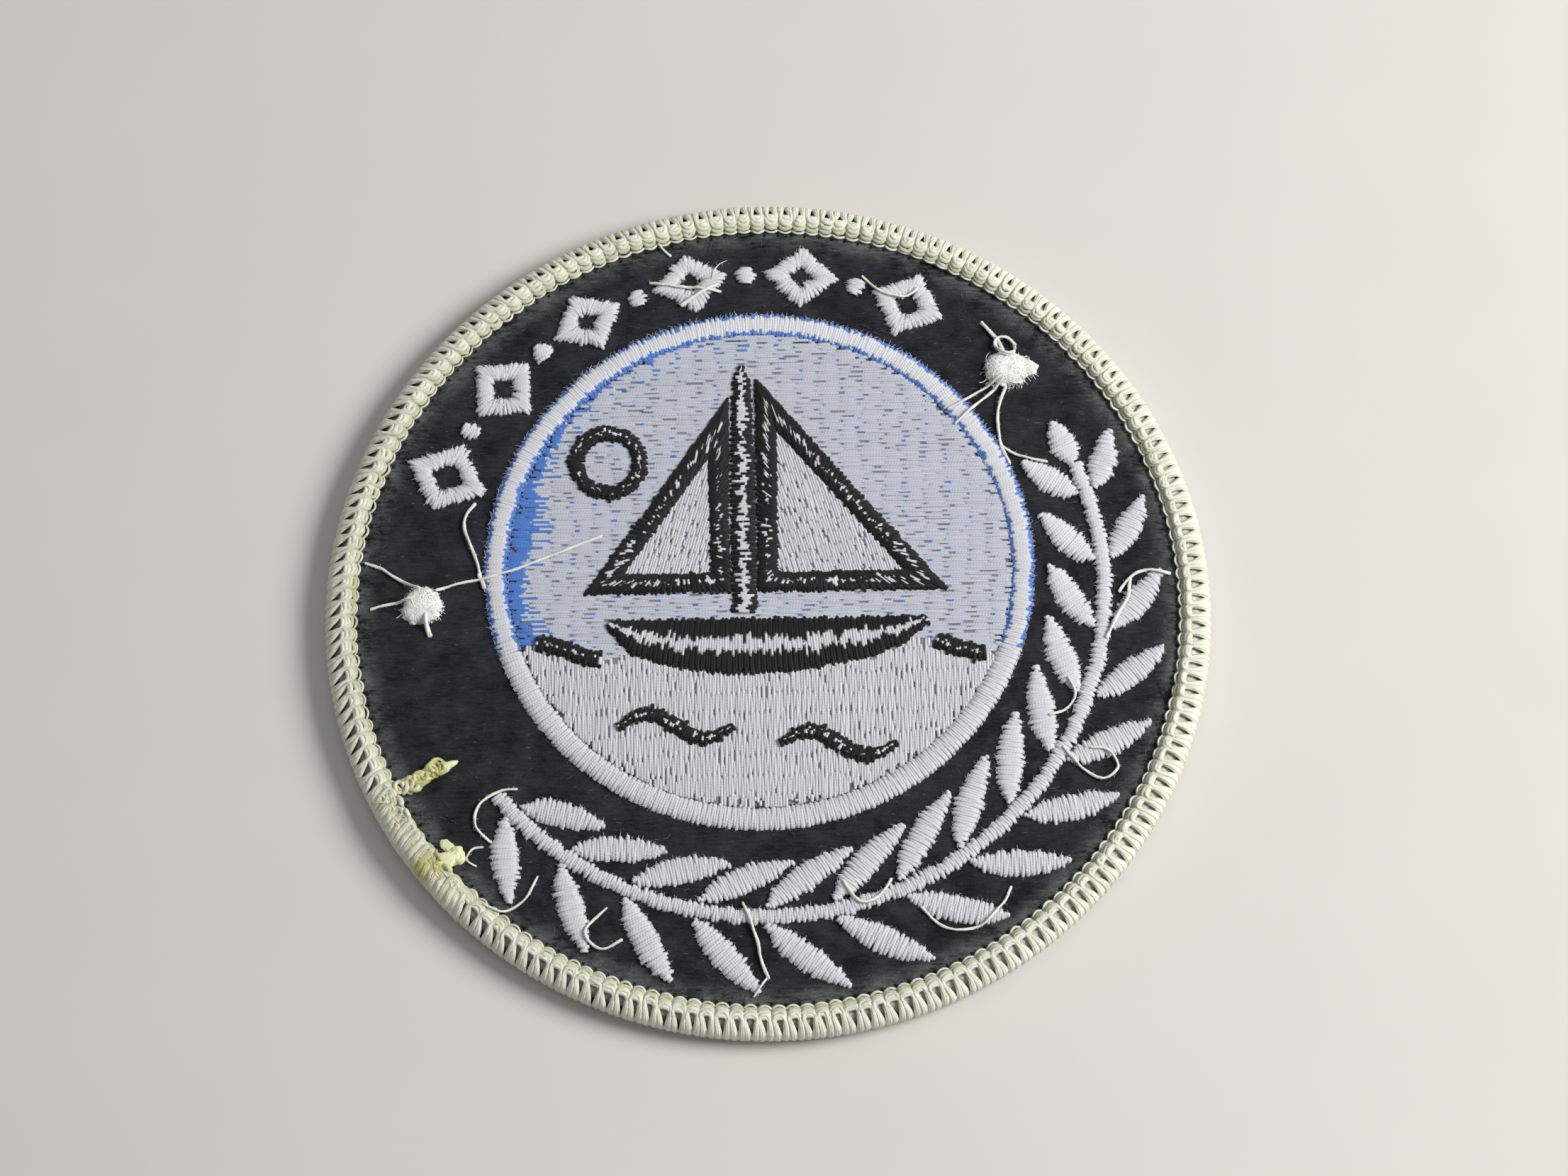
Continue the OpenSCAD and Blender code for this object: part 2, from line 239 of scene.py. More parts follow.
class Shade(Bench):
    """A material that is being wired up round one Principled shader.

    Args:
        name: the material's name.
        constants: values for the shader's own sockets, with _ for a space.
    """

    def __init__(self, name: str, **constants: float | tuple) -> None:
        """Makes the material and its shader."""
        material = bpy.data.materials.new(name)
        material.use_nodes = True
        super().__init__(material.node_tree)
        self.tree.nodes.clear()
        shader = self.node("ShaderNodeBsdfPrincipled")
        self.shader = shader.socket.node
        self.node("ShaderNodeOutputMaterial", None, {"Surface": shader})
        self.set(**constants)

    def set(self, **values: Wire | float | tuple) -> None:
        """Sets or links the shader's sockets, with _ for a space in their names."""
        for name, value in values.items():
            self.feed(self.shader.inputs[name.replace("_", " ")], value)

    def place(self) -> Wire:
        """Where the surface is, in metres."""
        return self.node("ShaderNodeTexCoord", out="Object")

    def attributes(self, *names: str) -> list[Wire]:
        """Numbers that the mesh carries."""
        return [self.node("ShaderNodeAttribute", {"attribute_name": n}, out="Fac") for n in names]

    def mixed(self, a: Wire | Colour, b: Wire | Colour, share: Wire | float) -> Wire:
        """A colour between a and b."""
        inputs = {"Factor_Float": share, "A_Color": a, "B_Color": b}
        return self.node("ShaderNodeMix", {"data_type": "RGBA"}, inputs, "Result_Color")

    def dimmed(self, colour: Wire | Colour, light: Wire | float) -> Wire:
        """A colour times a value."""
        return self.vector_maths("SCALE", colour, light)

    def step(self, value: Wire, low: float, high: float) -> Wire:
        """Eases a value to 0 at low and 1 at high."""
        settings = {"interpolation_type": "SMOOTHSTEP"}
        return self.node("ShaderNodeMapRange", settings, {"Value": value, "From Min": low, "From Max": high})

    def off(self, x: Wire, y: Wire) -> Wire:
        """Distance in millimetres from two offsets in metres."""
        return (x * x + y * y) ** 0.5 * (1 / MM)

    def relief(self, height: Wire, depth_mm: float) -> None:
        """Feeds a height into the shader's normal."""
        inputs = {"Height": height, "Distance": depth_mm * MM, "Strength": 1.0}
        self.set(Normal=self.node("ShaderNodeBump", None, inputs, "Normal"))


# ---- Finishes


@dataclass(frozen=True)
class Finish:
    """A material that is made once and shared by pieces, and the numbers that it reads from their points."""

    name: str
    slot: str
    numbers: ClassVar[tuple[str, ...]] = ()

    def material(self) -> bpy.types.Material:
        """Makes the finish's material the first time that it is asked for.

        Returns:
            The material.
        """
        if self.name not in bpy.data.materials:
            self.wire()
        return bpy.data.materials[self.name]

    def wire(self) -> None:
        """Makes the material."""
        raise NotImplementedError


@dataclass(frozen=True)
class StitchFinish(Finish):
    """Embroidery thread whose reverse shows the bobbin thread between two locks.

    Args:
        fleck: colour at a stitch's ends where it dives into the cloth: partly the top thread that shows
            there, partly painted shade of the dive.
        lock_soft: share of a stitch over which its colour changes at a lock.
        end_share: share of a stitch at each end that gets painted shade of the cloth: it is dimmed there and
            takes the fleck colour.
        twist_mm: length of one turn of the thread's twist.
    """

    top: Colour
    bobbin: Colour
    fleck: Colour
    lock_soft: float = 0.05
    end_share: float = 0.09
    twist_mm: float = 0.30
    relief_mm: float = 0.022
    roughness: float = 0.62
    numbers: ClassVar[tuple[str, ...]] = (
        "lift", "thick", "bow", "front", "tint", "lock_a", "lock_b", "fleck",
    )

    def wire(self) -> None:
        """Makes the material."""
        shade = Shade(self.name, Sheen_Weight=0.15, Sheen_Roughness=0.5, Specular_IOR_Level=0.25)
        t, along, side, tint = shade.attributes("t", "along", "side", "tint")
        lock_a, lock_b, fleck = shade.attributes("lock_a", "lock_b", "fleck")
        fray = shade.noise(shade.place(), 5200.0, 1.0) * 0.12 - 0.06
        after = ((t + fray - lock_a) / self.lock_soft + 0.5).clamped()
        before = ((lock_b - t - fray) / self.lock_soft + 0.5).clamped()
        # middle is 0 at a stitch's ends: there the colour is dimmed and mixed towards the fleck colour,
        # painted shade where the stitch dives into the cloth, partly the top thread that shows there.
        middle = (t / self.end_share).clamped() * ((1 - t) / self.end_share).clamped()
        strands = shade.noise(shade.vector(along * 420.0, side * 3.6, tint * 37.0), 1.0, 2.0, 0.6)
        colour = shade.mixed(self.top, self.bobbin, after * before)
        colour = shade.mixed(colour, self.fleck, (1 - middle) * fleck)
        light = (tint * 0.08 + 0.90) * (strands * 0.22 + 0.89) * (middle * 0.10 + 0.90)
        shade.set(Base_Color=shade.dimmed(colour, light), Roughness=strands * 0.22 + (self.roughness - 0.1))
        twist = (along * (2 * math.pi / (self.twist_mm * MM)) + side * 2.2).wave()
        shade.relief(twist * 0.3 + strands * 1.6, self.relief_mm)


@dataclass(frozen=True)
class YarnFinish(Finish):
    """Soft textured yarn, with painted shade in the hollows between strands, and stained where glue has
    soaked it.
    """

    body: Colour
    shadow: Colour
    glue: Colour
    relief_mm: float = 0.012
    roughness: float = 0.5
    numbers: ClassVar[tuple[str, ...]] = ("thick", "tint", "stain", "deep")

    def wire(self) -> None:
        """Makes the material."""
        shade = Shade(self.name, Sheen_Weight=0.25, Sheen_Roughness=0.35, Specular_IOR_Level=0.4)
        along, side, tint, stain, deep = shade.attributes("along", "side", "tint", "stain", "deep")
        fine = shade.noise(shade.vector(along * 430.0, side * 3.6, tint * 91.0), 1.0, 3.0, 0.6)
        crimp = shade.noise(shade.vector(along * 1900.0, side * 1.2, tint * 53.0), 1.0, 1.0)
        cloudy = shade.noise(shade.place(), 900.0)
        # deep is painted shade, from the threads' own numbers, and the cloudy noise spreads it unevenly;
        # stain is real glue.
        colour = shade.mixed(self.body, self.shadow, (deep + cloudy * 0.5 - 0.25).clamped())
        colour = shade.mixed(colour, self.glue, (stain * (cloudy + 0.5)).clamped())
        shade.set(
            Base_Color=shade.dimmed(colour, (tint * 0.10 + 0.87) * (fine * 0.26 + 0.88)),
            Roughness=(fine * 0.25 + (self.roughness - 0.12)) * (1 - stain * 0.35),
            Coat_Weight=stain * 0.25,
        )
        shade.relief(fine * 1.5 + crimp * 0.9, self.relief_mm)


@dataclass(frozen=True)
class HairFinish(Finish):
    """Single fibres, too thin for relief, from pale to dull ones."""

    pale: Colour
    dull: Colour
    numbers: ClassVar[tuple[str, ...]] = ("thick", "tint")

    def wire(self) -> None:
        """Makes the material."""
        shade = Shade(self.name, Roughness=0.7, Specular_IOR_Level=0.25, Sheen_Weight=0.2)
        shade.set(Base_Color=shade.mixed(self.dull, self.pale, *shade.attributes("tint")))


@dataclass(frozen=True)
class FeltFinish(Finish):
    """Charcoal felted backing with mottled nap, pale specks and a greyer rim beside the overlocked edge.

    Args:
        under: colour beneath the filled grounds, where thread lies in the nap.
        rim_at: radius of the edge's inner side.
        under_at: the filled grounds' middle.
        under_r: their radius.
        holes: how many needle holes there are along the edge.
        first_hole: where the first one is.
    """

    dark: Colour
    light: Colour
    speck: Colour
    rim: Colour
    under: Colour
    rim_at: float = 41.1
    rim_width: float = 2.2
    under_at: Place = (-0.8, 4.6)
    under_r: float = 25.3
    holes: int = 188
    first_hole: float = 224.6

    def wire(self) -> None:
        """Makes the material."""
        shade = Shade(self.name, Sheen_Weight=0.08, Sheen_Roughness=0.6, Specular_IOR_Level=0.1)
        place = shade.place()
        x, y, _ = shade.parts(place)
        mottle = shade.noise(place, 340.0, 3.0, 0.6)
        nap = shade.noise(shade.vector(x * 700.0, y * 3400.0, 0.0), 1.0, 3.0, 0.65)
        grain = shade.noise(place, 6500.0, 2.0, 0.7)
        specks = shade.step(shade.noise(shade.vector(x * 1100.0, y * 4600.0, 4.0), 1.0, 1.0), 0.70, 0.80)
        radius = shade.off(x, y)
        near_rim = shade.step(radius, self.rim_at - self.rim_width, self.rim_at + 0.2)
        lint = (near_rim * (mottle * 2.2 + nap * 1.8 - 1.6)).clamped()
        pale = (mottle * 1.7 + nap * 1.2 + grain * 0.8 - 1.45).clamped()
        colour = shade.mixed(self.dark, self.light, pale)
        colour = shade.mixed(colour, self.speck, specks * (mottle * 0.9 + 0.1))
        colour = shade.mixed(colour, self.rim, lint)
        off = shade.off(x - self.under_at[0] * MM, y - self.under_at[1] * MM)
        covered = 1 - shade.step(off, self.under_r - 0.2, self.under_r)
        colour = shade.mixed(colour, self.under, covered * (nap * 0.6 + 0.7))
        # The felt is darkened at the needle holes along the edge's inner side: painted shade in the holes.
        phase = -math.radians(self.holes * self.first_hole + 180)
        turn = shade.maths("ARCTAN2", y, x) * float(self.holes) + phase
        cusp = shade.step(shade.maths("COSINE", turn), 0.60, 0.95)
        at_edge = shade.step(1 - (radius - (self.rim_at + 0.05)).size() / 0.24, 0.0, 0.6)
        shade.set(Base_Color=shade.dimmed(colour, 1 - cusp * at_edge * 0.9), Roughness=0.92)
        shade.relief(nap * 1.1 + grain * 0.8 + mottle * 0.3, 0.11)


@dataclass(frozen=True)
class BedFinish(Finish):
    """What shows in the openings of the edge: grey lint, with painted shade towards the rim and on the inner
    side, and painted light at the right.
    """

    lint: Colour
    dark: Colour
    lit: Colour

    def wire(self) -> None:
        """Makes the material."""
        shade = Shade(self.name, Roughness=0.95, Specular_IOR_Level=0.1)
        place = shade.place()
        x, y, _ = shade.parts(place)
        tufts = shade.noise(place, 2600.0, 3.0, 0.6)
        radius = shade.off(x, y)
        # outer and inner mark the painted shade towards the rim and on the inner side; lit is painted light,
        # strongest at the right, where the lamp is.
        outer = shade.step(radius + tufts * 1.2, 43.95, 44.6)
        inner = shade.step(radius + tufts * 0.3, 41.8, 42.1)
        colour = shade.mixed(self.lint, self.dark, (outer + 1 - inner).clamped())
        colour = shade.mixed(colour, self.lit, shade.step(x, -0.01, 0.04) * 0.65)
        shade.set(Base_Color=shade.dimmed(colour, tufts + 0.4))
        shade.relief(tufts, 0.3)


@dataclass(frozen=True)
class TwillFinish(Finish):
    """Black twill: steep ribs, each crossed by its threads."""

    dark: Colour
    light: Colour
    rib_mm: float = 0.55
    rib_slant: float = 62.0

    def wire(self) -> None:
        """Makes the material."""
        shade = Shade(self.name, Sheen_Weight=0.15, Sheen_Roughness=0.5, Specular_IOR_Level=0.3)
        x, y, _ = shade.parts(shade.place())
        wave = 2 * math.pi / (self.rib_mm * MM)
        ribs = (x * (wave * sine(self.rib_slant)) - y * (wave * cosine(self.rib_slant))).wave()
        height = ribs * 0.5 + (x * (wave * 0.55) + y * (wave * 1.35)).wave() * 0.22
        worn = shade.noise(shade.place(), 300.0, 3.0)
        # The twill is lighter on its ribs' crests, a painted highlight, and unevenly so with the worn noise.
        colour = shade.mixed(self.dark, self.light, (height * 0.5 + worn * 0.8).clamped())
        shade.set(Base_Color=colour, Roughness=worn * 0.2 + 0.6)
        shade.relief(height, 0.05)


@dataclass(frozen=True)
class GlueFinish(Finish):
    """Dried glue, yellowish and a little see-through."""

    thick: Colour
    thin: Colour

    def wire(self) -> None:
        """Makes the material."""
        shade = Shade(
            self.name, Subsurface_Weight=0.3, Subsurface_Radius=(1.0, 1.0, 0.5), Subsurface_Scale=0.6 * MM,
            Specular_IOR_Level=0.25,
        )
        cloudy = shade.noise(shade.place(), 1500.0, 3.0, 0.6)
        fine = shade.noise(shade.place(), 5200.0)
        colour = shade.mixed(self.thin, self.thick, shade.step(cloudy, 0.35, 0.65))
        shade.set(Base_Color=colour, Roughness=fine * 0.4 + 0.62, Coat_Weight=cloudy * 0.02)
        shade.relief(cloudy * 1.5 + fine * 2.0, 0.25)


@dataclass(frozen=True)
class FloorFinish(Finish):
    """The plain pale floor."""

    colour: Colour

    def wire(self) -> None:
        """Makes the material."""
        shade = Shade(self.name, Roughness=0.9, Specular_IOR_Level=0.2)
        faint = shade.noise(shade.place(), 60.0, 4.0)
        shade.set(Base_Color=shade.dimmed(self.colour, faint * 0.05 + 0.975))


BOBBIN_WHITE = linear(0.81, 0.81, 0.825)
THREAD_BLUE = linear(0.30, 0.48, 0.78)
THREAD_BLACK = linear(0.045, 0.045, 0.052)
STAINED_WHITE = linear(0.8, 0.8, 0.6)

WHITE_STITCH = StitchFinish(
    "white_stitching", "white_thread", linear(0.86, 0.855, 0.83), BOBBIN_WHITE, linear(0.34, 0.34, 0.38)
)
BLUE_STITCH = StitchFinish(
    "blue_stitching", "blue_thread", THREAD_BLUE, BOBBIN_WHITE, linear(0.20, 0.36, 0.70)
)
SKY_STITCH = StitchFinish(
    "sky_stitching", "blue_thread", THREAD_BLUE, linear(0.738, 0.75, 0.79), linear(0.36, 0.48, 0.72)
)
BLACK_STITCH = StitchFinish(
    "black_stitching", "black_thread", THREAD_BLACK, BOBBIN_WHITE, THREAD_BLACK, roughness=0.6
)
CREAM_YARN = YarnFinish(
    "cream_edge_yarn", "cream_thread", linear(0.90, 0.90, 0.835), linear(0.64, 0.66, 0.47),
    linear(0.76, 0.75, 0.46), relief_mm=0.03,
)
LOOSE_THREAD = YarnFinish(
    "loose_white_thread", "white_thread", linear(0.90, 0.90, 0.87), linear(0.70, 0.70, 0.68), STAINED_WHITE
)
# The knots' thread is the loose white thread made brighter: painted light that offsets the tangle's own
# shade.
KNOT_THREAD = YarnFinish(
    "knotted_white_thread", "white_thread", linear(0.985, 0.985, 0.965), linear(0.9, 0.9, 0.88),
    STAINED_WHITE,
)
# The edge bed's second colour is painted shade, its third painted light.
EDGE_BED = BedFinish(
    "edge_bed", "cream_thread", linear(0.66, 0.66, 0.64), linear(0.10, 0.10, 0.105), linear(0.90, 0.90, 0.84)
)
FELT = FeltFinish(
    "charcoal_felt", "felt_backing", linear(0.045, 0.047, 0.055), linear(0.20, 0.205, 0.225),
    linear(0.40, 0.41, 0.44), linear(0.40, 0.41, 0.40), linear(0.50, 0.50, 0.52),
)
TWILL = TwillFinish("black_twill", "twill_cloth", linear(0.06, 0.06, 0.07), linear(0.17, 0.17, 0.19))
WHITE_FUZZ = HairFinish("white_fuzz", "white_thread", linear(0.92, 0.92, 0.93), linear(0.70, 0.70, 0.74))
CREAM_FUZZ = HairFinish("cream_fuzz", "cream_thread", linear(0.93, 0.93, 0.87), linear(0.76, 0.77, 0.66))
GREY_LINT = HairFinish("grey_lint", "felt_backing", linear(0.50, 0.51, 0.54), linear(0.12, 0.12, 0.14))
GLUE = GlueFinish("dried_glue", "dried_glue", linear(0.79, 0.79, 0.50), linear(0.62, 0.64, 0.32))
FLOOR = FloorFinish("pale_floor", "", linear(0.80, 0.79, 0.77))


# ---- Threads as meshes


def linked(name: str, data: bpy.types.ID) -> bpy.types.Object:
    """Puts a new object in the scene.

    Args:
        name: its name.
        data: its mesh, lamp or camera.

    Returns:
        The object.
    """
    made = bpy.data.objects.new(name, data)
    bpy.context.scene.collection.objects.link(made)
    return made


def mesh_object(name: str, points: Iterable[Spot], edges: Sequence, faces: Sequence) -> bpy.types.Object:
    """Makes a mesh object.

    Args:
        name: its name.
        points: its points, in millimetres.
        edges: pairs of points.
        faces: rounds of points.

    Returns:
        The object.
    """
    mesh = bpy.data.meshes.new(name)
    mesh.from_pydata([tuple(c * MM for c in p) for p in points], edges, faces)
    return linked(name, mesh)


def solid(name: str, points: Iterable[Spot], faces: Sequence, finish: Finish) -> bpy.types.Object:
    """Makes a smooth mesh object with its finish.

    Args:
        name: its name.
        points: its points, in millimetres.
        faces: rounds of points.
        finish: its finish.

    Returns:
        The object.
    """
    made = mesh_object(name, points, [], faces)
    made.data.shade_smooth()
    made.data.materials.append(finish.material())
    return made


@dataclass
class Strands:
    """The threads of one piece as lines, with numbers at their points, and the solid that it stands for."""

    finish: Finish
    name: str
    node: str = ""
    points: list[Spot] = field(default_factory=list)
    lines: list[tuple[int, int]] = field(default_factory=list)
    values: dict[str, list[float]] = field(default_factory=dict)

    def lay(self, path: Sequence[Spot], **values: float | Sequence[float]) -> None:
        """Adds one thread.

        Args:
            path: its points.
            values: a number for the whole thread, or one for each point.
        """
        first = len(self.points)
        self.points.extend(path)
        self.lines.extend((first + i, first + i + 1) for i in range(len(path) - 1))
        for name in self.finish.numbers:
            value = values.get(name, 0.0)
            spread = [value] * len(path) if isinstance(value, (int, float)) else list(value)
            self.values.setdefault(name, []).extend(spread)

    def object(self) -> bpy.types.Object:
        """The threads as an object of bare edges that carry the numbers.

        Returns:
            The object.
        """
        made = mesh_object(self.name, self.points, self.lines, [])
        for key, values in self.values.items():
            layer = made.data.attributes.new(key, "FLOAT", "POINT")
            layer.data.foreach_set("value", np.array(values, np.float32))
        return made


class ThreadTree(Bench):
    """Geometry Nodes that turn lines into threads with thickness.

    Args:
        name: the tree's name.
    """

    def __init__(self, name: str) -> None:
        """Makes the tree with the inputs that all threads have."""
        super().__init__(bpy.data.node_groups.new(name, "GeometryNodeTree"))
        self.sockets: dict[str, str] = {}
        self.tree.interface.new_socket("Geometry", in_out="OUTPUT", socket_type="NodeSocketGeometry")
        self.input("Geometry", "Geometry")
        self.input("Material", "Material")
        self.input("Flatness", "Float")
        self.input("Wander", "Float")
        self.input("Seed", "Int", SEED)

    def input(self, name: str, kind: str, value: float | int | None = None) -> None:
        """Adds a named input to the tree.

        Args:
            name: its name.
            kind: its type.
            value: what it is where nothing else is set.
        """
        socket = self.tree.interface.new_socket(name, in_out="INPUT", socket_type=f"NodeSocket{kind}")
        if value is not None:
            socket.default_value = value
        self.sockets[name] = socket.identifier

    def given(self, name: str) -> Wire:
        """The value of a named input."""
        return self.node("NodeGroupInput", out=name)

    def named(self, name: str) -> Wire:
        """A number that the lines carry."""
        return self.node("GeometryNodeInputNamedAttribute", None, {"Name": name}, "Attribute")

    def stored(self, geometry: Wire, name: str, value: Wire) -> Wire:
        """Geometry whose points carry a number under a name."""
        inputs = {"Geometry": geometry, "Name": name, "Value": value}
        return self.node("GeometryNodeStoreNamedAttribute", None, inputs)

    def moved(self, geometry: Wire, offset: Wire) -> Wire:
        """Geometry whose points are moved."""
        return self.node("GeometryNodeSetPosition", None, {"Geometry": geometry, "Offset": offset})

    def wandering(self) -> Wire:
        """A small offset that changes along and between threads.

        Returns:
            The offset.
        """
        place = self.node("GeometryNodeInputPosition")
        inputs = {"Vector": place, "W": self.given("Seed"), "Scale": 700.0, "Detail": 1.0}
        noise = self.node("ShaderNodeTexNoise", {"noise_dimensions": "4D"}, inputs, "Color")
        centred = self.vector_maths("SUBTRACT", noise, (0.5, 0.5, 0.5))
        return self.vector_maths("SCALE", centred, self.given("Wander"))

    def thickened(self, curve: Wire, sides: Wire, taper: Wire | float, outward: Wire | None = None) -> Wire:
        """A curve with a flattened round section, whose threads know where they are along and across.

        Args:
            curve: the threads' lines.
            sides: how many sides the section has.
            taper: the thickness, as a share of the thread's own.
            outward: the direction that the section's flat side faces, where that isn't up.

        Returns:
            The threads' surface.
        """
        if outward is None:
            curve = self.node("GeometryNodeSetCurveNormal", {"mode": "Z_UP"}, {"Curve": curve})
        else:
            across = self.vector_maths("CROSS_PRODUCT", self.node("GeometryNodeInputTangent"), outward)
            inputs = {"Curve": curve, "Normal": self.vector_maths("NORMALIZE", across)}
            curve = self.node("GeometryNodeSetCurveNormal", {"mode": "FREE"}, inputs)
        inputs = {"Resolution": sides, "Radius": 1.0}
        ring = self.node("GeometryNodeCurvePrimitiveCircle", {"mode": "RADIUS"}, inputs)
        ring = self.stored(ring, "side", self.parts(self.node("GeometryNodeInputPosition"))[0])
        inputs = {"Geometry": ring, "Scale": self.vector(1.0, self.given("Flatness"), 1.0)}
        ring = self.node("GeometryNodeTransform", None, inputs)
        scale = self.named("thick") * MM * taper
        inputs = {"Curve": curve, "Profile Curve": ring, "Scale": scale, "Fill Caps": True}
        return self.node("GeometryNodeCurveToMesh", None, inputs)

    def finished(self, threads: Wire) -> None:
        """Ends the tree: smooth, real and with its material.

        Args:
            threads: the threads' surface.
        """
        threads = self.node("GeometryNodeSetShadeSmooth", None, {"Geometry": threads})
        threads = self.node("GeometryNodeRealizeInstances", None, {"Geometry": threads})
        inputs = {"Geometry": threads, "Material": self.given("Material")}
        self.node("NodeGroupOutput", None, {0: self.node("GeometryNodeSetMaterial", None, inputs)})


class StitchTree(ThreadTree):
    """Threads that come up out of the cloth, arch over it and dive in again, one for each edge."""

    def __init__(self) -> None:
        """Wires up the whole tree."""
        super().__init__("stitch_threads")
        for side, sides, points in (("reverse", 5, 6), ("front", 4, 4)):
            self.input(f"Sides {side}", "Int", sides)
            self.input(f"Points {side}", "Int", points)
        faces = [self.face("reverse", 1 - self.named("front")), self.face("front", self.named("front"))]
        joined = self.node("GeometryNodeJoinGeometry")
        for threads in reversed(faces):
            self.tree.links.new(threads.socket, joined.socket.node.inputs[0])
        self.finished(joined)

    def face(self, side: str, chosen: Wire) -> Wire:
        """The stitches of one side of the cloth.

        Args:
            side: reverse or front.
            chosen: which edges are on that side.

        Returns:
            Their surface.
        """
        edges = {"Mesh": self.given("Geometry"), "Selection": chosen}
        curve = self.node("GeometryNodeMeshToCurve", None, edges)
        points = {"Curve": curve, "Count": self.given(f"Points {side}")}
        curve = self.node("GeometryNodeResampleCurve", None, points)
        tangent = self.node("GeometryNodeInputTangent")
        share = self.node("GeometryNodeSplineParameter", out="Factor")
        length = self.node("GeometryNodeSplineLength", out="Length")
        crowding = (share * (2 * math.pi)).wave() * (-0.75 / (2 * math.pi))
        curve = self.stored(curve, "t", share + crowding)
        curve = self.stored(curve, "along", (share + crowding) * length)
        curve = self.moved(curve, self.vector_maths("SCALE", tangent, crowding * length))
        ends = (self.named("t") * 2.0 - 1.0).size()
        arch = 1 - ends ** 8
        aside = self.vector_maths("CROSS_PRODUCT", tangent, (0.0, 0.0, 1.0))
        aside = self.vector_maths("SCALE", aside, self.named("bow") * MM * arch)
        lift = self.vector(0.0, 0.0, self.named("lift") * MM * arch)
        offset = self.vector_maths("ADD", self.vector_maths("ADD", lift, aside), self.wandering())
        return self.thickened(self.moved(curve, offset), self.given(f"Sides {side}"), 1 - ends ** 6 * 0.2)


class LaidTree(ThreadTree):
    """Threads that follow the lines that they are given, point by point.

    Args:
        name: the tree's name.
    """

    def __init__(self, name: str = "laid_threads") -> None:
        """Wires up the whole tree."""
        super().__init__(name)
        self.input("Sides", "Int", 5)
        curve = self.node("GeometryNodeMeshToCurve", None, {"Mesh": self.given("Geometry")})
        for key, out in (("t", "Factor"), ("along", "Length")):
            curve = self.stored(curve, key, self.node("GeometryNodeSplineParameter", out=out))
        curve = self.moved(curve, self.wandering())
        self.finished(self.thickened(curve, self.given("Sides"), 1.0, self.outward()))

    def outward(self) -> Wire | None:
        """The direction that the threads' flat side faces, where that isn't up."""
        return None


class WrapTree(LaidTree):
    """Threads that are wound round the rim of the patch.

    Args:
        rim: radius of the line that the rim is rounded about.
        low: height of the front's round.
        high: height of the reverse's round.
    """

    def __init__(self, rim: float, low: float, high: float) -> None:
        """Wires up the whole tree."""
        self.rim, self.low, self.high = rim * MM, low * MM, high * MM
        super().__init__("wrapped_threads")

    def outward(self) -> Wire:
        """The direction away from the middle of the rim.

        Returns:
            The direction.
        """
        place = self.node("GeometryNodeInputPosition")
        x, y, z = self.parts(place)
        radius = (x * x + y * y) ** 0.5
        share = self.maths("MINIMUM", radius, self.rim) / radius
        level = self.maths("MINIMUM", self.maths("MAXIMUM", z, self.low), self.high)
        return self.vector_maths("SUBTRACT", place, self.vector(x * share, y * share, level))


# ---- The drawing


@dataclass(frozen=True)
class Drawing:
    """The patch's sizes and places, which are the same as in the part's source."""

    patch_r: float = 44.5
    border_w: float = 3.4
    border_round: float = 1.3
    border_t: float = 3.24
    cloth_tuck: float = 2.2
    cloth_low: float = 0.62
    felt_low: float = 1.62
    felt_top: float = 2.62
    fill_h: float = 0.22
    satin_h: float = 0.32
    medallion_r: float = 27.7
    medallion_at: Place = (-0.8, 4.6)
    ring_w: float = 2.3
    gap: float = 0.08
    lap_from: float = 205.0
    lap_to: float = 224.0
    lap_in: float = 0.6
    lap_up: float = 0.25
    glue_at: float = 216.0

    @property
    def border_in(self) -> float:
        """Radius of the overlocked edge's inner side."""
        return self.patch_r - self.border_w

    @property
    def cloth_r(self) -> float:
        """Radius of the cloth discs."""
        return self.border_in + self.cloth_tuck

    @property
    def ring_mid(self) -> float:
        """Radius of the middle of the satin ring."""
        return self.medallion_r - self.ring_w / 2

    @property
    def field_r(self) -> float:
        """Radius of the picture inside the ring."""
        return self.medallion_r - self.ring_w - self.gap

    @property
    def tail_r(self) -> float:
        """Radius that the lap reaches in to, where the tail and the glue start."""
        return self.border_in - self.lap_in - self.gap

    def in_field(self, place: Place) -> Place:
        """A place given as shares of the picture's radius, in millimetres."""
        return shifted(self.medallion_at, place, self.field_r)

    def medallion_reach(self, angle: float) -> float:
        """Distance from the patch's middle to the medallion's outer side."""
        off, lean = math.hypot(*self.medallion_at), angle - heading(self.medallion_at)
        return off * cosine(lean) + math.sqrt(self.medallion_r**2 - (off * sine(lean)) ** 2)

    def band_mid(self, angle: float) -> float:
        """Radius of the middle of the band between the medallion and the edge."""
        return (self.border_in + self.medallion_reach(angle)) / 2

    def band_half(self, angle: float) -> float:
        """Half the band's width."""
        return (self.border_in - self.medallion_reach(angle)) / 2


def heading(place: Place) -> float:
    """The angle at which a place is seen from the origin."""
    return math.degrees(math.atan2(place[1], place[0]))


def narrowed(t: float, end: float, fullness: float, lean: float = 1.0) -> float:
    """How wide a satin shape is at share t of its length, as a share of its full width."""
    return end + (1 - end) * abs(sine(180 * t**lean)) ** fullness


def way(a: Place, b: Place) -> Place:
    """The direction from one place to another, or nothing where they are the same."""
    far = apart(a, b)
    return ((b[0] - a[0]) / far, (b[1] - a[1]) / far) if far > 1e-9 else (0.0, 0.0)


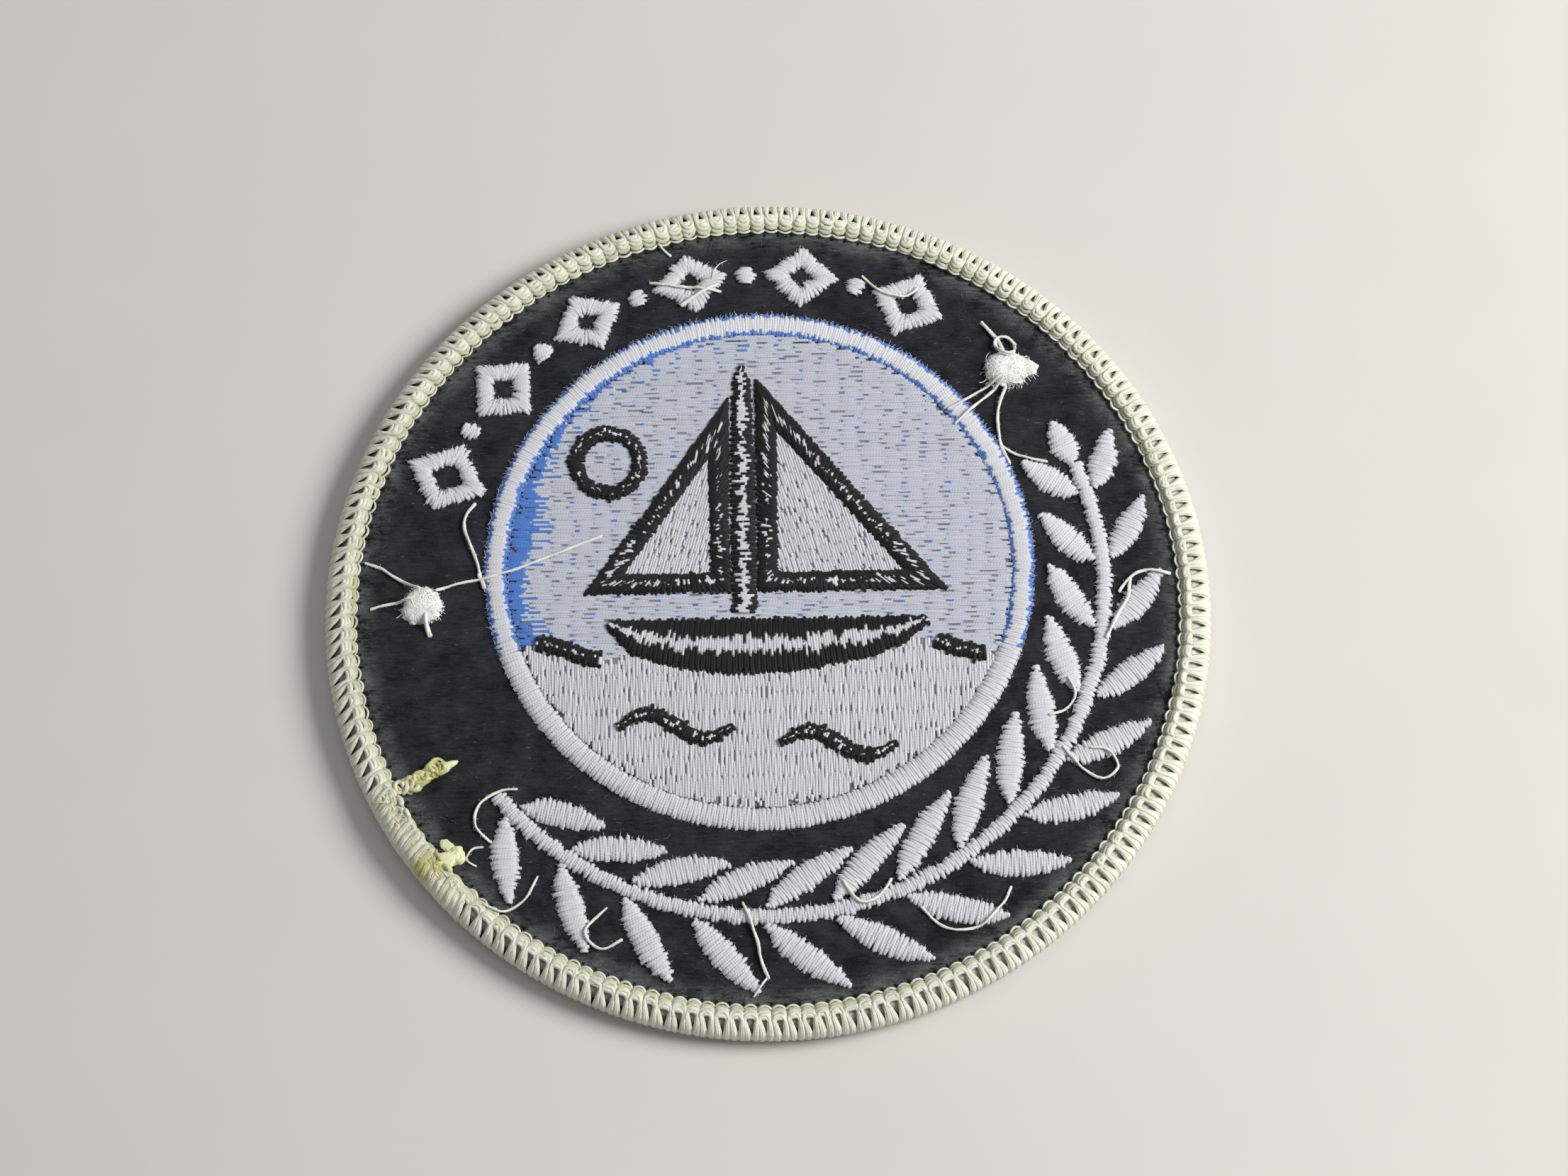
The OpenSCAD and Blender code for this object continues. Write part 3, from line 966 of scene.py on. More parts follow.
def side_at(path: Sequence[Place], i: int, closed: bool) -> Place:
    """The mitred sideways direction at a point of a path.

    Args:
        path: the path.
        i: the point's number.
        closed: whether the path comes back to its start.

    Returns:
        The direction, longer where the path turns.
    """
    n = len(path)
    into = way(path[(i - 1) % n if closed else max(i - 1, 0)], path[i])
    out = way(path[i], path[(i + 1) % n if closed else min(i + 1, n - 1)])
    along = way((0.0, 0.0), shifted(into, out))
    leg = into if math.hypot(*into) > 0 else out
    reach = along[0] * leg[0] + along[1] * leg[1]
    return -along[1] / reach, along[0] / reach


class Side(Enum):
    """The cloth's two sides."""

    REVERSE = 0
    FRONT = 1


@dataclass(frozen=True)
class Tension:
    """How far the top thread is drawn through to the reverse at each end of a stitch.

    Args:
        first: share of the stitch that is top thread at its start.
        last: share at which the top thread starts again.
        stray: how much both vary.
    """

    first: float
    last: float
    stray: float


EVEN = Tension(-1.0, 2.0, 0.0)
RING_PULL = Tension(0.16, 0.82, 0.05)
HULL_PULL = Tension(0.40, 0.62, 0.06)
WIDE_PULL = Tension(0.37, 0.64, 0.10)
NARROW_PULL = Tension(0.49, 0.52, 0.10)


@dataclass(frozen=True)
class Needlework:
    """How a kind of stitching is sewn.

    Args:
        pitch: distance between neighbouring stitches on the reverse.
        half: half a thread's width on the reverse.
        ragged: how far stitch ends stray.
        slant: how far a satin stitch's ends are apart along the column.
        dive: how far its ends are under what it is sewn on.
    """

    pitch: float = 0.27
    front_pitch: float = 0.42
    half: float = 0.225
    front_half: float = 0.24
    ragged: float = 0.10
    slant: float = 0.06
    dive: float = 0.10

    def pitch_on(self, side: Side) -> float:
        """Distance between neighbouring stitches on a side of the cloth."""
        return self.pitch if side is Side.REVERSE else self.front_pitch


FILL_WORK = Needlework(pitch=0.255, front_pitch=0.45, half=0.19, front_half=0.25, ragged=0.06, dive=-0.07)
SAIL_WORK = Needlework(pitch=0.26, front_pitch=0.45, half=0.18, front_half=0.25, ragged=0.06, dive=-0.02)
RING_WORK = Needlework(pitch=0.26, ragged=0.07)
BLACK_WORK = Needlework(pitch=0.28, half=0.215, ragged=0.12)
BAND_WORK = Needlework(ragged=0.12)


@dataclass(frozen=True)
class Ground:
    """A filled ground.

    Args:
        inside: tells which places are in it.
        reach: how far it reaches from its middle.
        angle: the direction of its rows.
        flecks: how dark a stitch's ends may be.
        gaps: how many ends on the reverse are short, so that the cloth shows.
        pull_at: the tension of a stitch between two places.
        probe: distance between the places that are tested.
    """

    inside: Inside
    middle: Place
    reach: float
    angle: float
    length: float
    flecks: tuple[float, ...]
    gaps: float = 0.2
    pull_at: Callable[[Place, Place], Tension | None] = lambda a, b: None
    probe: float = 0.08


@dataclass
class Embroidery:
    """Stitches of one node, on both sides of the cloth.

    Args:
        name: the node, which also seeds the strays.
        height: how high their arches stand above what they are sewn on.
        above_cloth: how high that is above the cloth.
        pull: the tension on the reverse.
    """

    shop: "Workshop"
    finish: StitchFinish
    name: str
    height: float
    above_cloth: float = 0.0
    work: Needlework = Needlework()
    pull: Tension = EVEN
    shortest: float = 0.35
    shortest_cut: float = 0.7
    shortest_row: float = 0.5

    def __post_init__(self) -> None:
        """Seeds the strays."""
        self.chance = random.Random(f"{SEED} {self.name.removesuffix('_fill')}")
        self.strands = Strands(self.finish, f"stitched_{self.name}", self.name)

    def hand_over(self, frayed: bool = False) -> None:
        """Makes the stitches a piece.

        Args:
            frayed: whether their ends on the reverse get fibres later.
        """
        points, fronts = self.strands.points, self.strands.values["front"]
        if frayed:
            ends = zip(points[::2], points[1::2], fronts[::2])
            self.shop.ends += [(a[:2], b[:2]) for a, b, front in ends if not front]
        self.shop.spin(self.strands, flatness=0.40, wander_mm=0.04, tree=self.shop.stitch_tree)

    def stitch(
        self, a: Place, b: Place, side: Side, pull: Tension | None = None, fleck: float = 0.0
    ) -> None:
        """Sews one stitch.

        Args:
            a: where it comes up.
            b: where it goes down.
            side: the cloth's side that it lies on.
            pull: its tension, where it isn't that of the whole work.
            fleck: how dark its ends are.
        """
        chance, work, d = self.chance, self.work, self.shop.drawing
        reverse = side is Side.REVERSE
        up = 1 if reverse else -1
        base = (d.felt_top if reverse else d.cloth_low) + up * self.above_cloth
        half = (work.half if reverse else work.front_half) * chance.uniform(0.94, 1.06)
        along = way(a, b)
        stray = [chance.gauss(0, work.ragged) if reverse else 0.0 for _ in range(2)]
        a, b = shifted(a, along, stray[0]), shifted(b, along, stray[1])
        top = self.height - half * 0.5 + chance.uniform(-0.012, 0.012) * reverse
        z = base - up * work.dive
        pull = (pull or self.pull) if reverse else EVEN
        first, last = (share + chance.gauss(0, pull.stray) for share in (pull.first, pull.last))
        if not reverse:
            first, last = last, first
        self.strands.lay(
            [(*a, z), (*b, z)], lift=up * (top + work.dive), thick=half, bow=chance.gauss(0, 0.018),
            front=float(side.value), tint=chance.random(), lock_a=first, lock_b=last, fleck=fleck * reverse,
        )

    def satin(self, path: Sequence[Place], widths: Sequence[float], closed: bool = False) -> None:
        """Sews a satin column: stitches side by side across a path.

        Args:
            path: the column's middle.
            widths: its width at each point of the path.
            closed: whether the path comes back to its start.
        """
        n, slant = len(path), self.work.slant
        rails = [
            [shifted(path[i], side_at(path, i, closed), share * widths[i]) for i in range(n)]
            for share in (-0.5, 0.5)
        ]
        for side in Side:
            owed, zig = 0.5, 1
            for i in range(n if closed else n - 1):
                j = (i + 1) % n
                longest = max(apart(rail[i], rail[j]) for rail in rails)
                steps = longest / self.work.pitch_on(side)
                lean = slant / max(longest, slant)
                while owed < steps:
                    t = owed / steps
                    a, b = (midway(r[i], r[j], t + s * zig * lean) for r, s in zip(rails, (-1, 1)))
                    if apart(a, b) > self.shortest:
                        self.stitch(a, b, side)
                    zig = -zig
                    owed += 1 + (self.chance.uniform(-0.08, 0.08) if side is Side.REVERSE else 0)
                owed -= steps

    def rows(self, ground: Ground) -> None:
        """Sews a filled ground: rows of stitches whose ends step from row to row.

        Args:
            ground: the ground.
        """
        t = np.arange(-ground.reach, ground.reach, ground.probe)
        for side in Side:
            pitch = self.work.pitch_on(side)
            for row in range(int(-ground.reach / pitch), int(ground.reach / pitch) + 1):
                x, y = shifted(ground.middle, turned((t, row * pitch), ground.angle))
                within = np.concatenate(([False], ground.inside(x, y), [False])).astype(int)
                edges = np.flatnonzero(np.diff(within)) * ground.probe - ground.reach
                for start, stop in zip(edges[::2], edges[1::2]):
                    if stop - start >= self.shortest_row:
                        self.row(ground, side, row, start, stop)

    def row(self, ground: Ground, side: Side, row: int, start: float, stop: float) -> None:
        """Sews one stretch of a row.

        Args:
            ground: the ground.
            side: the cloth's side.
            row: the row's number.
            start: where the stretch starts along the row.
            stop: where it stops.
        """
        chance, length, short = self.chance, ground.length, self.shortest_cut
        step = length * (row * 0.5 % 1.0)
        count = math.floor((start - step) / length) + 1
        cuts = [start]
        while step + count * length < stop - short:
            cut = step + count * length + chance.gauss(0, 0.25)
            if cut - cuts[-1] > short:
                cuts.append(cut)
            count += 1
        gaps = ground.gaps if side is Side.REVERSE else 0.0
        for a, b in zip(cuts, [*cuts[1:], stop]):
            across = row * self.work.pitch_on(side) + chance.gauss(0, 0.02)
            a += (chance.random() < gaps) * chance.uniform(0.3, 0.9) - 0.06
            b -= (chance.random() < gaps) * chance.uniform(0.3, 0.9) - 0.06
            ends = [shifted(ground.middle, turned((c, across), ground.angle)) for c in (a, b)]
            self.stitch(*ends, side, ground.pull_at(*ends), chance.choice(ground.flecks))


# ---- The makers


class Workshop:
    """Makes pieces and keeps count of them.

    Args:
        drawing: the patch's sizes.
    """

    def __init__(self, drawing: Drawing) -> None:
        """Makes the trees that all pieces share."""
        d = self.drawing = drawing
        self.stitch_tree = StitchTree()
        self.laid_tree = LaidTree()
        self.wrap_tree = WrapTree(d.patch_r - d.border_round, d.border_round, d.border_t - d.border_round)
        self.ends: list[tuple[Place, Place]] = []
        self.triangles = 0

    def hand_over(self, piece: bpy.types.Object, finish: Finish, node: str = "") -> None:
        """Fixes a piece on the patch and reports it.

        Args:
            piece: the piece.
            finish: its finish; not used.
            node: the solid that it stands for.
        """
        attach(piece, "root")
        if node:
            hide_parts(node)
        triangles = sum(len(p.vertices) - 2 for p in piece.data.polygons)
        self.triangles += triangles
        log.info("%-26s %7d triangles  %s", piece.name, triangles, node)

    def spin(
        self, strands: Strands, flatness: float, wander_mm: float = 0.0, sides: int = 5,
        tree: ThreadTree | None = None,
    ) -> None:
        """Turns threads into a piece.

        Args:
            strands: the threads.
            flatness: height of their section, as a share of its width.
            wander_mm: how far they stray from their lines.
            sides: how many sides their section has.
            tree: the tree that gives them their thickness, where they aren't just laid.
        """
        tree, piece, finish = tree or self.laid_tree, strands.object(), strands.finish
        modifier = piece.modifiers.new("threads", "NODES")
        modifier.node_group = tree.tree
        values = {"Material": finish.material(), "Flatness": flatness, "Wander": wander_mm * MM}
        if "Sides" in tree.sockets:
            values["Sides"] = sides
        for key, value in values.items():
            modifier[tree.sockets[key]] = value
        mesh = bpy.data.meshes.new_from_object(piece.evaluated_get(bpy.context.evaluated_depsgraph_get()))
        piece.modifiers.clear()
        bare, piece.data = piece.data, mesh
        bpy.data.meshes.remove(bare)
        mesh.name = strands.name
        self.hand_over(piece, finish, strands.node)


@dataclass
class Assembly:
    """A sub-assembly of the patch, made in a workshop."""

    shop: Workshop
    seed: ClassVar[str] = ""

    def __post_init__(self) -> None:
        """Takes over the patch's sizes and seeds the strays."""
        self.drawing = self.shop.drawing
        self.chance = random.Random(f"{SEED} {self.seed}")


@dataclass
class ClothDiscs(Assembly):
    """The charcoal felt on the reverse and the black twill on the front."""

    pucker_mm: float = 0.13
    pucker_reach_mm: float = 0.8
    waves: tuple[Spot, ...] = ((0.31, 0.13, 0.4), (-0.17, 0.35, 1.9), (0.72, -0.55, 0.7), (0.9, 0.81, 2.2))
    wave_h: float = 0.025
    tucked_mm: float = 0.16
    under_fill_mm: float = 0.10
    twill_mesh: tuple[int, int] = (20, 160)
    felt_mesh: tuple[int, int] = (62, 300)

    def build(self) -> None:
        """Lays the twill and on it the felt."""
        d = self.drawing
        levels = (d.cloth_low, d.felt_low, d.felt_top)
        twill = levels[:2], self.twill_mesh, lambda x, y: 0.0, TWILL
        felt = levels[1:], self.felt_mesh, self.felt_rise(), FELT
        self.disc("twill_front", "ground_cloth", "edge_wraps", *twill)
        self.disc("felt_backing", "backing", "twill_front", *felt)

    def felt_rise(self) -> Callable[[float, float], float]:
        """Works out how the felt is drawn down where stitches go through it.

        Returns:
            What tells how far the felt's upper side stands up at a place.
        """
        d = self.drawing
        tree = KDTree(2 * len(self.shop.ends))
        for i, (a, b) in enumerate(self.shop.ends):
            tree.insert((*a, 0.0), 2 * i)
            tree.insert((*b, 0.0), 2 * i + 1)
        tree.balance()

        def rise(x: float, y: float) -> float:
            """How far the felt's upper side stands up at a place.

            Args:
                x: the place's x.
                y: its y.

            Returns:
                The height.
            """
            drawn = math.exp(-((tree.find((x, y, 0.0))[2] / self.pucker_reach_mm) ** 2))
            heave = sum(math.sin(a * x + b * y + c) for a, b, c in self.waves) * self.wave_h
            tucked = smooth_step((math.hypot(x, y) - d.border_in + 0.4) / 1.0)
            inner = smooth_step((d.field_r - 0.2 - apart((x, y), d.medallion_at)) / 1.0)
            level = between(heave - self.pucker_mm * drawn, self.under_fill_mm, inner)
            return level - self.tucked_mm * tucked

        return rise

    def disc(
        self, name: str, node: str, under: str, levels: tuple[float, float], mesh: tuple[int, int],
        rise: Callable[[float, float], float], finish: Finish,
    ) -> None:
        """Makes a closed round sheet with an uneven upper side.

        Args:
            name: the piece's name.
            node: the solid that it stands for.
            under: the piece that it rests on; not used.
            levels: heights of its lower and its upper side.
            mesh: how many rings of faces it has, and how many faces a ring has.
            rise: how far a place on the upper side is above its height.
            finish: its finish.
        """
        radius, (low, top), (rings, steps) = self.drawing.cloth_r, levels, mesh
        points = [(0.0, 0.0, top + rise(0.0, 0.0))]
        for ring in range(1, rings + 1):
            for step in range(steps):
                x, y = polar(radius * ring / rings, TURN * (step + 0.5 * (ring % 2)) / steps)
                points.append((x, y, top + rise(x, y)))
        outer, lower = 1 + (rings - 1) * steps, len(points)
        points += [(*points[outer + i][:2], low) for i in range(steps)] + [(0.0, 0.0, low)]
        around = [(i, (i + 1) % steps) for i in range(steps)]
        faces: list[tuple[int, ...]] = [(0, 1 + i, 1 + j) for i, j in around]
        for start in range(1, outer, steps):
            faces += [(start + i, start + steps + i, start + steps + j, start + j) for i, j in around]
        faces += [(outer + i, lower + i, lower + j, outer + j) for i, j in around]
        faces += [(lower + steps, lower + j, lower + i) for i, j in around]
        piece = solid(name, points, faces, finish)
        self.shop.hand_over(piece, finish, node)


@dataclass
class Medallion(Assembly):
    """The round picture and its satin ring. Places are in shares of the picture's radius."""

    blue_from: float = -19.0
    blue_to: float = 199.0
    line_w: float = 2.1
    mast_w: float = 2.6
    wave_w: float = 1.7
    sun_line_w: float = 1.5
    mast_foot: Place = (-0.06, -0.19)
    mast_head: Place = (-0.06, 0.86)
    main_sail_top: float = 0.70
    main_sail_corner: Place = (0.66, -0.06)
    fore_sail_top: float = 0.60
    fore_sail_corner: Place = (-0.62, -0.06)
    hull_bow: Place = (-0.60, -0.21)
    hull_stern: Place = (0.66, -0.21)
    sun_at: Place = (-0.60, 0.46)
    crests_at: tuple[Place, Place] = ((-0.34, -0.66), (0.30, -0.74))
    horizon_y: float = -0.34
    hull_depth: float = 0.24
    sun_r: float = 0.13
    swell_h: float = 0.035
    swell_l: float = 0.5
    crest_h: float = 0.055
    crest_l: float = 0.46

    def swell(self, x: float | np.ndarray) -> float | np.ndarray:
        """Height of the horizon, in shares of the picture's radius."""
        return self.horizon_y + self.swell_h * np.sin(2 * np.pi * x / self.swell_l)

    def black(
        self, name: str, path: list[Place], widths: list[float], pull: Tension, closed: bool = False
    ) -> None:
        """Sews one of the black shapes that lie on the filled ground.

        Args:
            name: the node.
            path: the shape's middle line.
            widths: its width at each point of the line.
            pull: its tension.
            closed: whether the line comes back to its start.
        """
        d = self.drawing
        shape = Embroidery(self.shop, BLACK_STITCH, name, d.satin_h, d.fill_h, BLACK_WORK, pull)
        shape.satin(path, widths, closed)
        shape.hand_over()

    def build(self) -> None:
        """Sews the grounds, the ring and the picture."""
        self.grounds()
        self.ring()
        self.boat()
        self.water_and_sun()

    def grounds(self) -> None:
        """Sews the sky's level rows and the water's upright ones."""
        d = self.drawing
        cx, cy = d.medallion_at
        reach = d.field_r + 0.05
        spots = random.Random(SEED)

        def part(side: int) -> Inside:
            """Makes the test of which places are in the sky or in the sea.

            Args:
                side: 1 above the horizon, -1 below it.

            Returns:
                The test.
            """
            return lambda x, y: ((x - cx) ** 2 + (y - cy) ** 2 < reach**2) & (
                (y - (cy + d.field_r * self.swell((x - cx) / d.field_r))) * side > 0
            )

        def sky_pull(a: Place, b: Place) -> Tension | None:
            """Lets blue through by the ring, most of all at the left, and here and there in spots.

            Args:
                a: where the stitch comes up.
                b: where it goes down.

            Returns:
                Its tension, where that isn't the work's own.
            """
            x, y = (a[0] - cx) / d.field_r, (a[1] - cy) / d.field_r
            if math.hypot(x, y) < 0.93 or x > 0:
                return Tension(0.115, 2.0, 0.02) if spots.random() < 0.2 else None
            angle, length = heading((x, y)) % TURN, max(apart(a, b), 0.5)
            left, lower = (math.exp(-(((angle - at) / wide) ** 2)) for at, wide in ((172, 17), (195, 5)))
            depth = 0.5 + 1.7 * left + 0.9 * lower
            return Tension(depth / length, 2.0, 0.25 / length)

        sky = Embroidery(self.shop, SKY_STITCH, "sky_fill", d.fill_h, work=replace(FILL_WORK, half=0.205))
        above = Ground(
            part(1), d.medallion_at, reach, angle=0.0, length=4.2, flecks=(0.0, 0.15, 0.3, 0.6), gaps=0.26,
            pull_at=sky_pull,
        )
        sky.rows(above)
        sky.hand_over()
        sea = Embroidery(self.shop, WHITE_STITCH, "sea_fill", d.fill_h, work=FILL_WORK)
        below = Ground(
            part(-1), d.medallion_at, reach, angle=90.0, length=4.4, flecks=(0.0, 0.2, 0.5), gaps=0.24,
        )
        sea.rows(below)
        sea.hand_over()

    def ring(self) -> None:
        """Sews the satin ring, blue above and white below."""
        d = self.drawing
        joint = math.degrees(math.asin(d.gap / d.ring_mid))
        for name, start, stop, finish, pull in (
            ("ring_blue", self.blue_from, self.blue_to, BLUE_STITCH, RING_PULL),
            ("ring_white", self.blue_to + joint, TURN + self.blue_from - joint, WHITE_STITCH, EVEN),
        ):
            angles = [between(start, stop, t) for t in shares(round(abs(stop - start) / 3))]
            path = [shifted(d.medallion_at, polar(d.ring_mid, a)) for a in angles]
            ring = Embroidery(self.shop, finish, name, d.satin_h, work=RING_WORK, pull=pull)
            ring.satin(path, [d.ring_w] * len(path))
            ring.hand_over(frayed=True)

    def boat(self) -> None:
        """Sews the hull, the mast and the two sails."""
        d = self.drawing
        deepest = d.field_r * self.hull_depth
        depths = [deepest * narrowed(t, end=0.16, fullness=0.6, lean=0.85) for t in shares(12)]
        deck = [d.in_field(midway(self.hull_bow, self.hull_stern, t)) for t in shares(12)]
        middle = [shifted(place, (0, -depth / 2)) for place, depth in zip(deck, depths)]
        self.black("hull", middle, depths, HULL_PULL)
        foot, head = d.in_field(self.mast_foot), d.in_field(self.mast_head)
        mast = [foot, midway(foot, head, 0.5), midway(foot, head, 0.94), head]
        self.black("mast", mast, [self.mast_w * share for share in (1, 1, 0.7, 0.2)], WIDE_PULL)
        self.sail("main_sail", self.main_sail_corner, self.main_sail_top, 1)
        self.sail("fore_sail", self.fore_sail_corner, self.fore_sail_top, -1)

    def sail(self, name: str, outer: Place, top: float, side: int) -> None:
        """Sews a sail's white ground and its black edge line.

        Args:
            name: the sail.
            outer: its outer corner.
            top: height of its upper corner.
            side: 1 behind the mast, -1 before it.
        """
        d = self.drawing
        x = d.in_field(self.mast_foot)[0] + side * (self.mast_w / 2 + self.line_w / 2 + d.gap)
        low = d.in_field(outer)
        corners = [(x, d.in_field((0, top))[1]), low, (x, low[1])]
        a, b, c = (apart(corners[i], corners[j]) for i, j in ((1, 2), (2, 0), (0, 1)))
        around = a + b + c
        middle = tuple((a * p + b * q + c * r) / around for p, q, r in zip(*corners))
        half = around / 2
        inscribed = math.sqrt((half - a) * (half - b) * (half - c) / half)
        share = (inscribed - self.line_w / 2 + 0.25) / inscribed
        inner = [midway(middle, p, share) for p in corners]

        def inside(x: np.ndarray, y: np.ndarray) -> np.ndarray:
            """Tells which places are in the sail.

            Args:
                x: their x.
                y: their y.

            Returns:
                Whether each one is.
            """
            sides = zip(inner, inner[1:] + inner[:1])
            turns = [(q[0] - p[0]) * (y - p[1]) - (q[1] - p[1]) * (x - p[0]) for p, q in sides]
            return np.all([t > 0 for t in turns], axis=0) | np.all([t < 0 for t in turns], axis=0)

        cloth = Embroidery(self.shop, WHITE_STITCH, name, d.satin_h * 0.4, d.fill_h, SAIL_WORK)
        slant = 90.0 + side * 16.0
        cloth.rows(Ground(inside, middle, reach=16.0, angle=slant, length=2.9, flecks=(0.3, 0.8)))
        cloth.hand_over()
        self.black(f"{name}_edge", corners, [self.line_w] * 3, NARROW_PULL, True)

    def water_and_sun(self) -> None:
        """Sews the horizon's two stretches, the crests and the sun."""
        d = self.drawing
        clear = (self.wave_w / 2 + d.gap) / d.field_r
        end = math.sqrt(1 - (abs(self.horizon_y) + self.swell_h) ** 2) - clear
        for name, start, stop in (
            ("horizon_left", -end, self.hull_bow[0] - clear),
            ("horizon_right", self.hull_stern[0] + clear, end),
        ):
            xs = [between(start, stop, t) for t in shares(7)]
            line = [d.in_field((x, float(self.swell(x)))) for x in xs]
            self.black(name, line, [self.wave_w] * 8, NARROW_PULL)
        for name, (x, y) in zip(("wave_crest_left", "wave_crest_right"), self.crests_at):
            line = [(x + self.crest_l * (t - 0.5), y + self.crest_h * sine(TURN * t)) for t in shares(8)]
            widths = [self.wave_w * narrowed(t, end=0.4, fullness=1) for t in shares(8)]
            self.black(name, [d.in_field(place) for place in line], widths, NARROW_PULL)
        at, radius = d.in_field(self.sun_at), self.sun_r * d.field_r
        rim = [shifted(at, polar(radius, TURN * i / 16)) for i in range(16)]
        self.black("sun", rim, [self.sun_line_w] * 16, NARROW_PULL, True)


@dataclass
class Band(Assembly):
    """The leaf garland, the row of lozenges and the dots in the band round the medallion."""

    stem_w: float = 1.4
    leaf_w: float = 2.7
    leaf_angle: float = 42.0
    leaf_bend: float = 0.1
    leaf_foot: float = 0.12
    margin: float = 1.2
    garland_at: Place = (215.0, 386.0)
    pairs: int = 14
    pairs_at: Place = (219.0, 381.0)
    lozenge_line_w: float = 1.5
    lozenge_w: float = 7.6
    lozenge_count: int = 6
    lozenges_at: Place = (66.0, 155.0)
    dot_d: float = 1.8

    def build(self) -> None:
        """Sews the whole band."""
        self.garland()
        self.lozenges()

    def sew(self, name: str, *columns: tuple) -> None:
        """Sews white satin on the felt.

        Args:
            name: the node.
            columns: each column's path and widths, and whether it is closed.
        """
        satin = Embroidery(self.shop, WHITE_STITCH, name, self.drawing.satin_h, work=BAND_WORK)
        for column in columns:
            satin.satin(*column)
        satin.hand_over(frayed=True)

    def leaf(self, foot: Place, angle: float, length: float, bend: float) -> tuple[list[Place], list[float]]:
        """A leaf's middle line and widths, from its foot, direction and length, and its bend as a share."""
        path = [shifted(foot, turned((length * t, bend * length * t * t), angle)) for t in shares(6)]
        return path, [self.leaf_w * narrowed(t, self.leaf_foot, fullness=0.8, lean=0.9) for t in shares(6)]

    def garland(self) -> None:
        """Sews the stem, the pairs of leaves and the leaf at the tip."""
        d, (start, end) = self.drawing, self.garland_at
        angles = [between(start, end, t) for t in shares(44)]
        self.sew("garland_stem", ([polar(d.band_mid(a), a) for a in angles], [self.stem_w] * 45))
        out = self.stem_w / 2 + d.gap + self.leaf_w * self.leaf_foot / 2
        for i, t in enumerate(shares(self.pairs - 1)):
            a = between(*self.pairs_at, t)
            middle, along = polar(d.band_mid(a), a), a + 90
            length = (d.band_half(a) - self.margin - out) / sine(self.leaf_angle)
            leaves = []
            for side in (-1, 1):
                foot, angle = shifted(middle, turned((0, side * out), along)), along + side * self.leaf_angle
                leaves.append(self.leaf(foot, angle, length, -side * self.leaf_bend))
            self.sew(f"leaf_pair_{i + 1:02d}", *leaves)
        foot = shifted(polar(d.band_mid(end), end), turned((2 * d.gap, 0), end + 90))
        self.sew("garland_tip", self.leaf(foot, end + 90, self.leaf_w * 1.8, 0.0))

    def lozenges(self) -> None:
        """Sews the lozenges' outlines, their long axes along the patch's edge, and the dots between them."""
        d, r = self.drawing, self.dot_d / 2
        angles = [between(*self.lozenges_at, t) for t in shares(self.lozenge_count - 1)]
        for i, a in enumerate(angles):
            radial, sideways = d.band_half(a) - self.margin, self.lozenge_w / 2
            inscribed = radial * sideways / math.hypot(radial, sideways)
            line = min(self.lozenge_line_w, inscribed * 0.8)
            corners = ((radial, 0.0), (0.0, sideways), (-radial, 0.0), (0.0, -sideways))
            middle, inset = polar(d.band_mid(a), a), 1 - line / 2 / inscribed
            path = [shifted(middle, turned(p, a), inset) for p in corners]
            self.sew(f"lozenge_{i + 1}", (path, [line] * 4, True))
        spans = [t * 1.8 - 0.9 for t in shares(6)]
        for i, a in enumerate((a + b) / 2 for a, b in zip(angles, angles[1:])):
            path = [shifted(polar(d.band_mid(a), a), turned((r * s, 0), a)) for s in spans]
            self.sew(f"dot_{i + 1}", (path, [2 * r * math.sqrt(1 - s * s) for s in spans]))


@dataclass(frozen=True)
class Loop:
    """One loop of the overlocked edge.

    Args:
        at: its angle.
        opening: half the width of the opening that it goes round.
        tip: radius of the opening's outer tip.
        end: radius of the opening's inner end.
        lean: how far its outer end is turned from its inner end.
        lift: how much higher it lies than its neighbours.
    """

    at: float
    opening: float
    tip: float
    end: float
    lean: float
    lift: float = 0.0


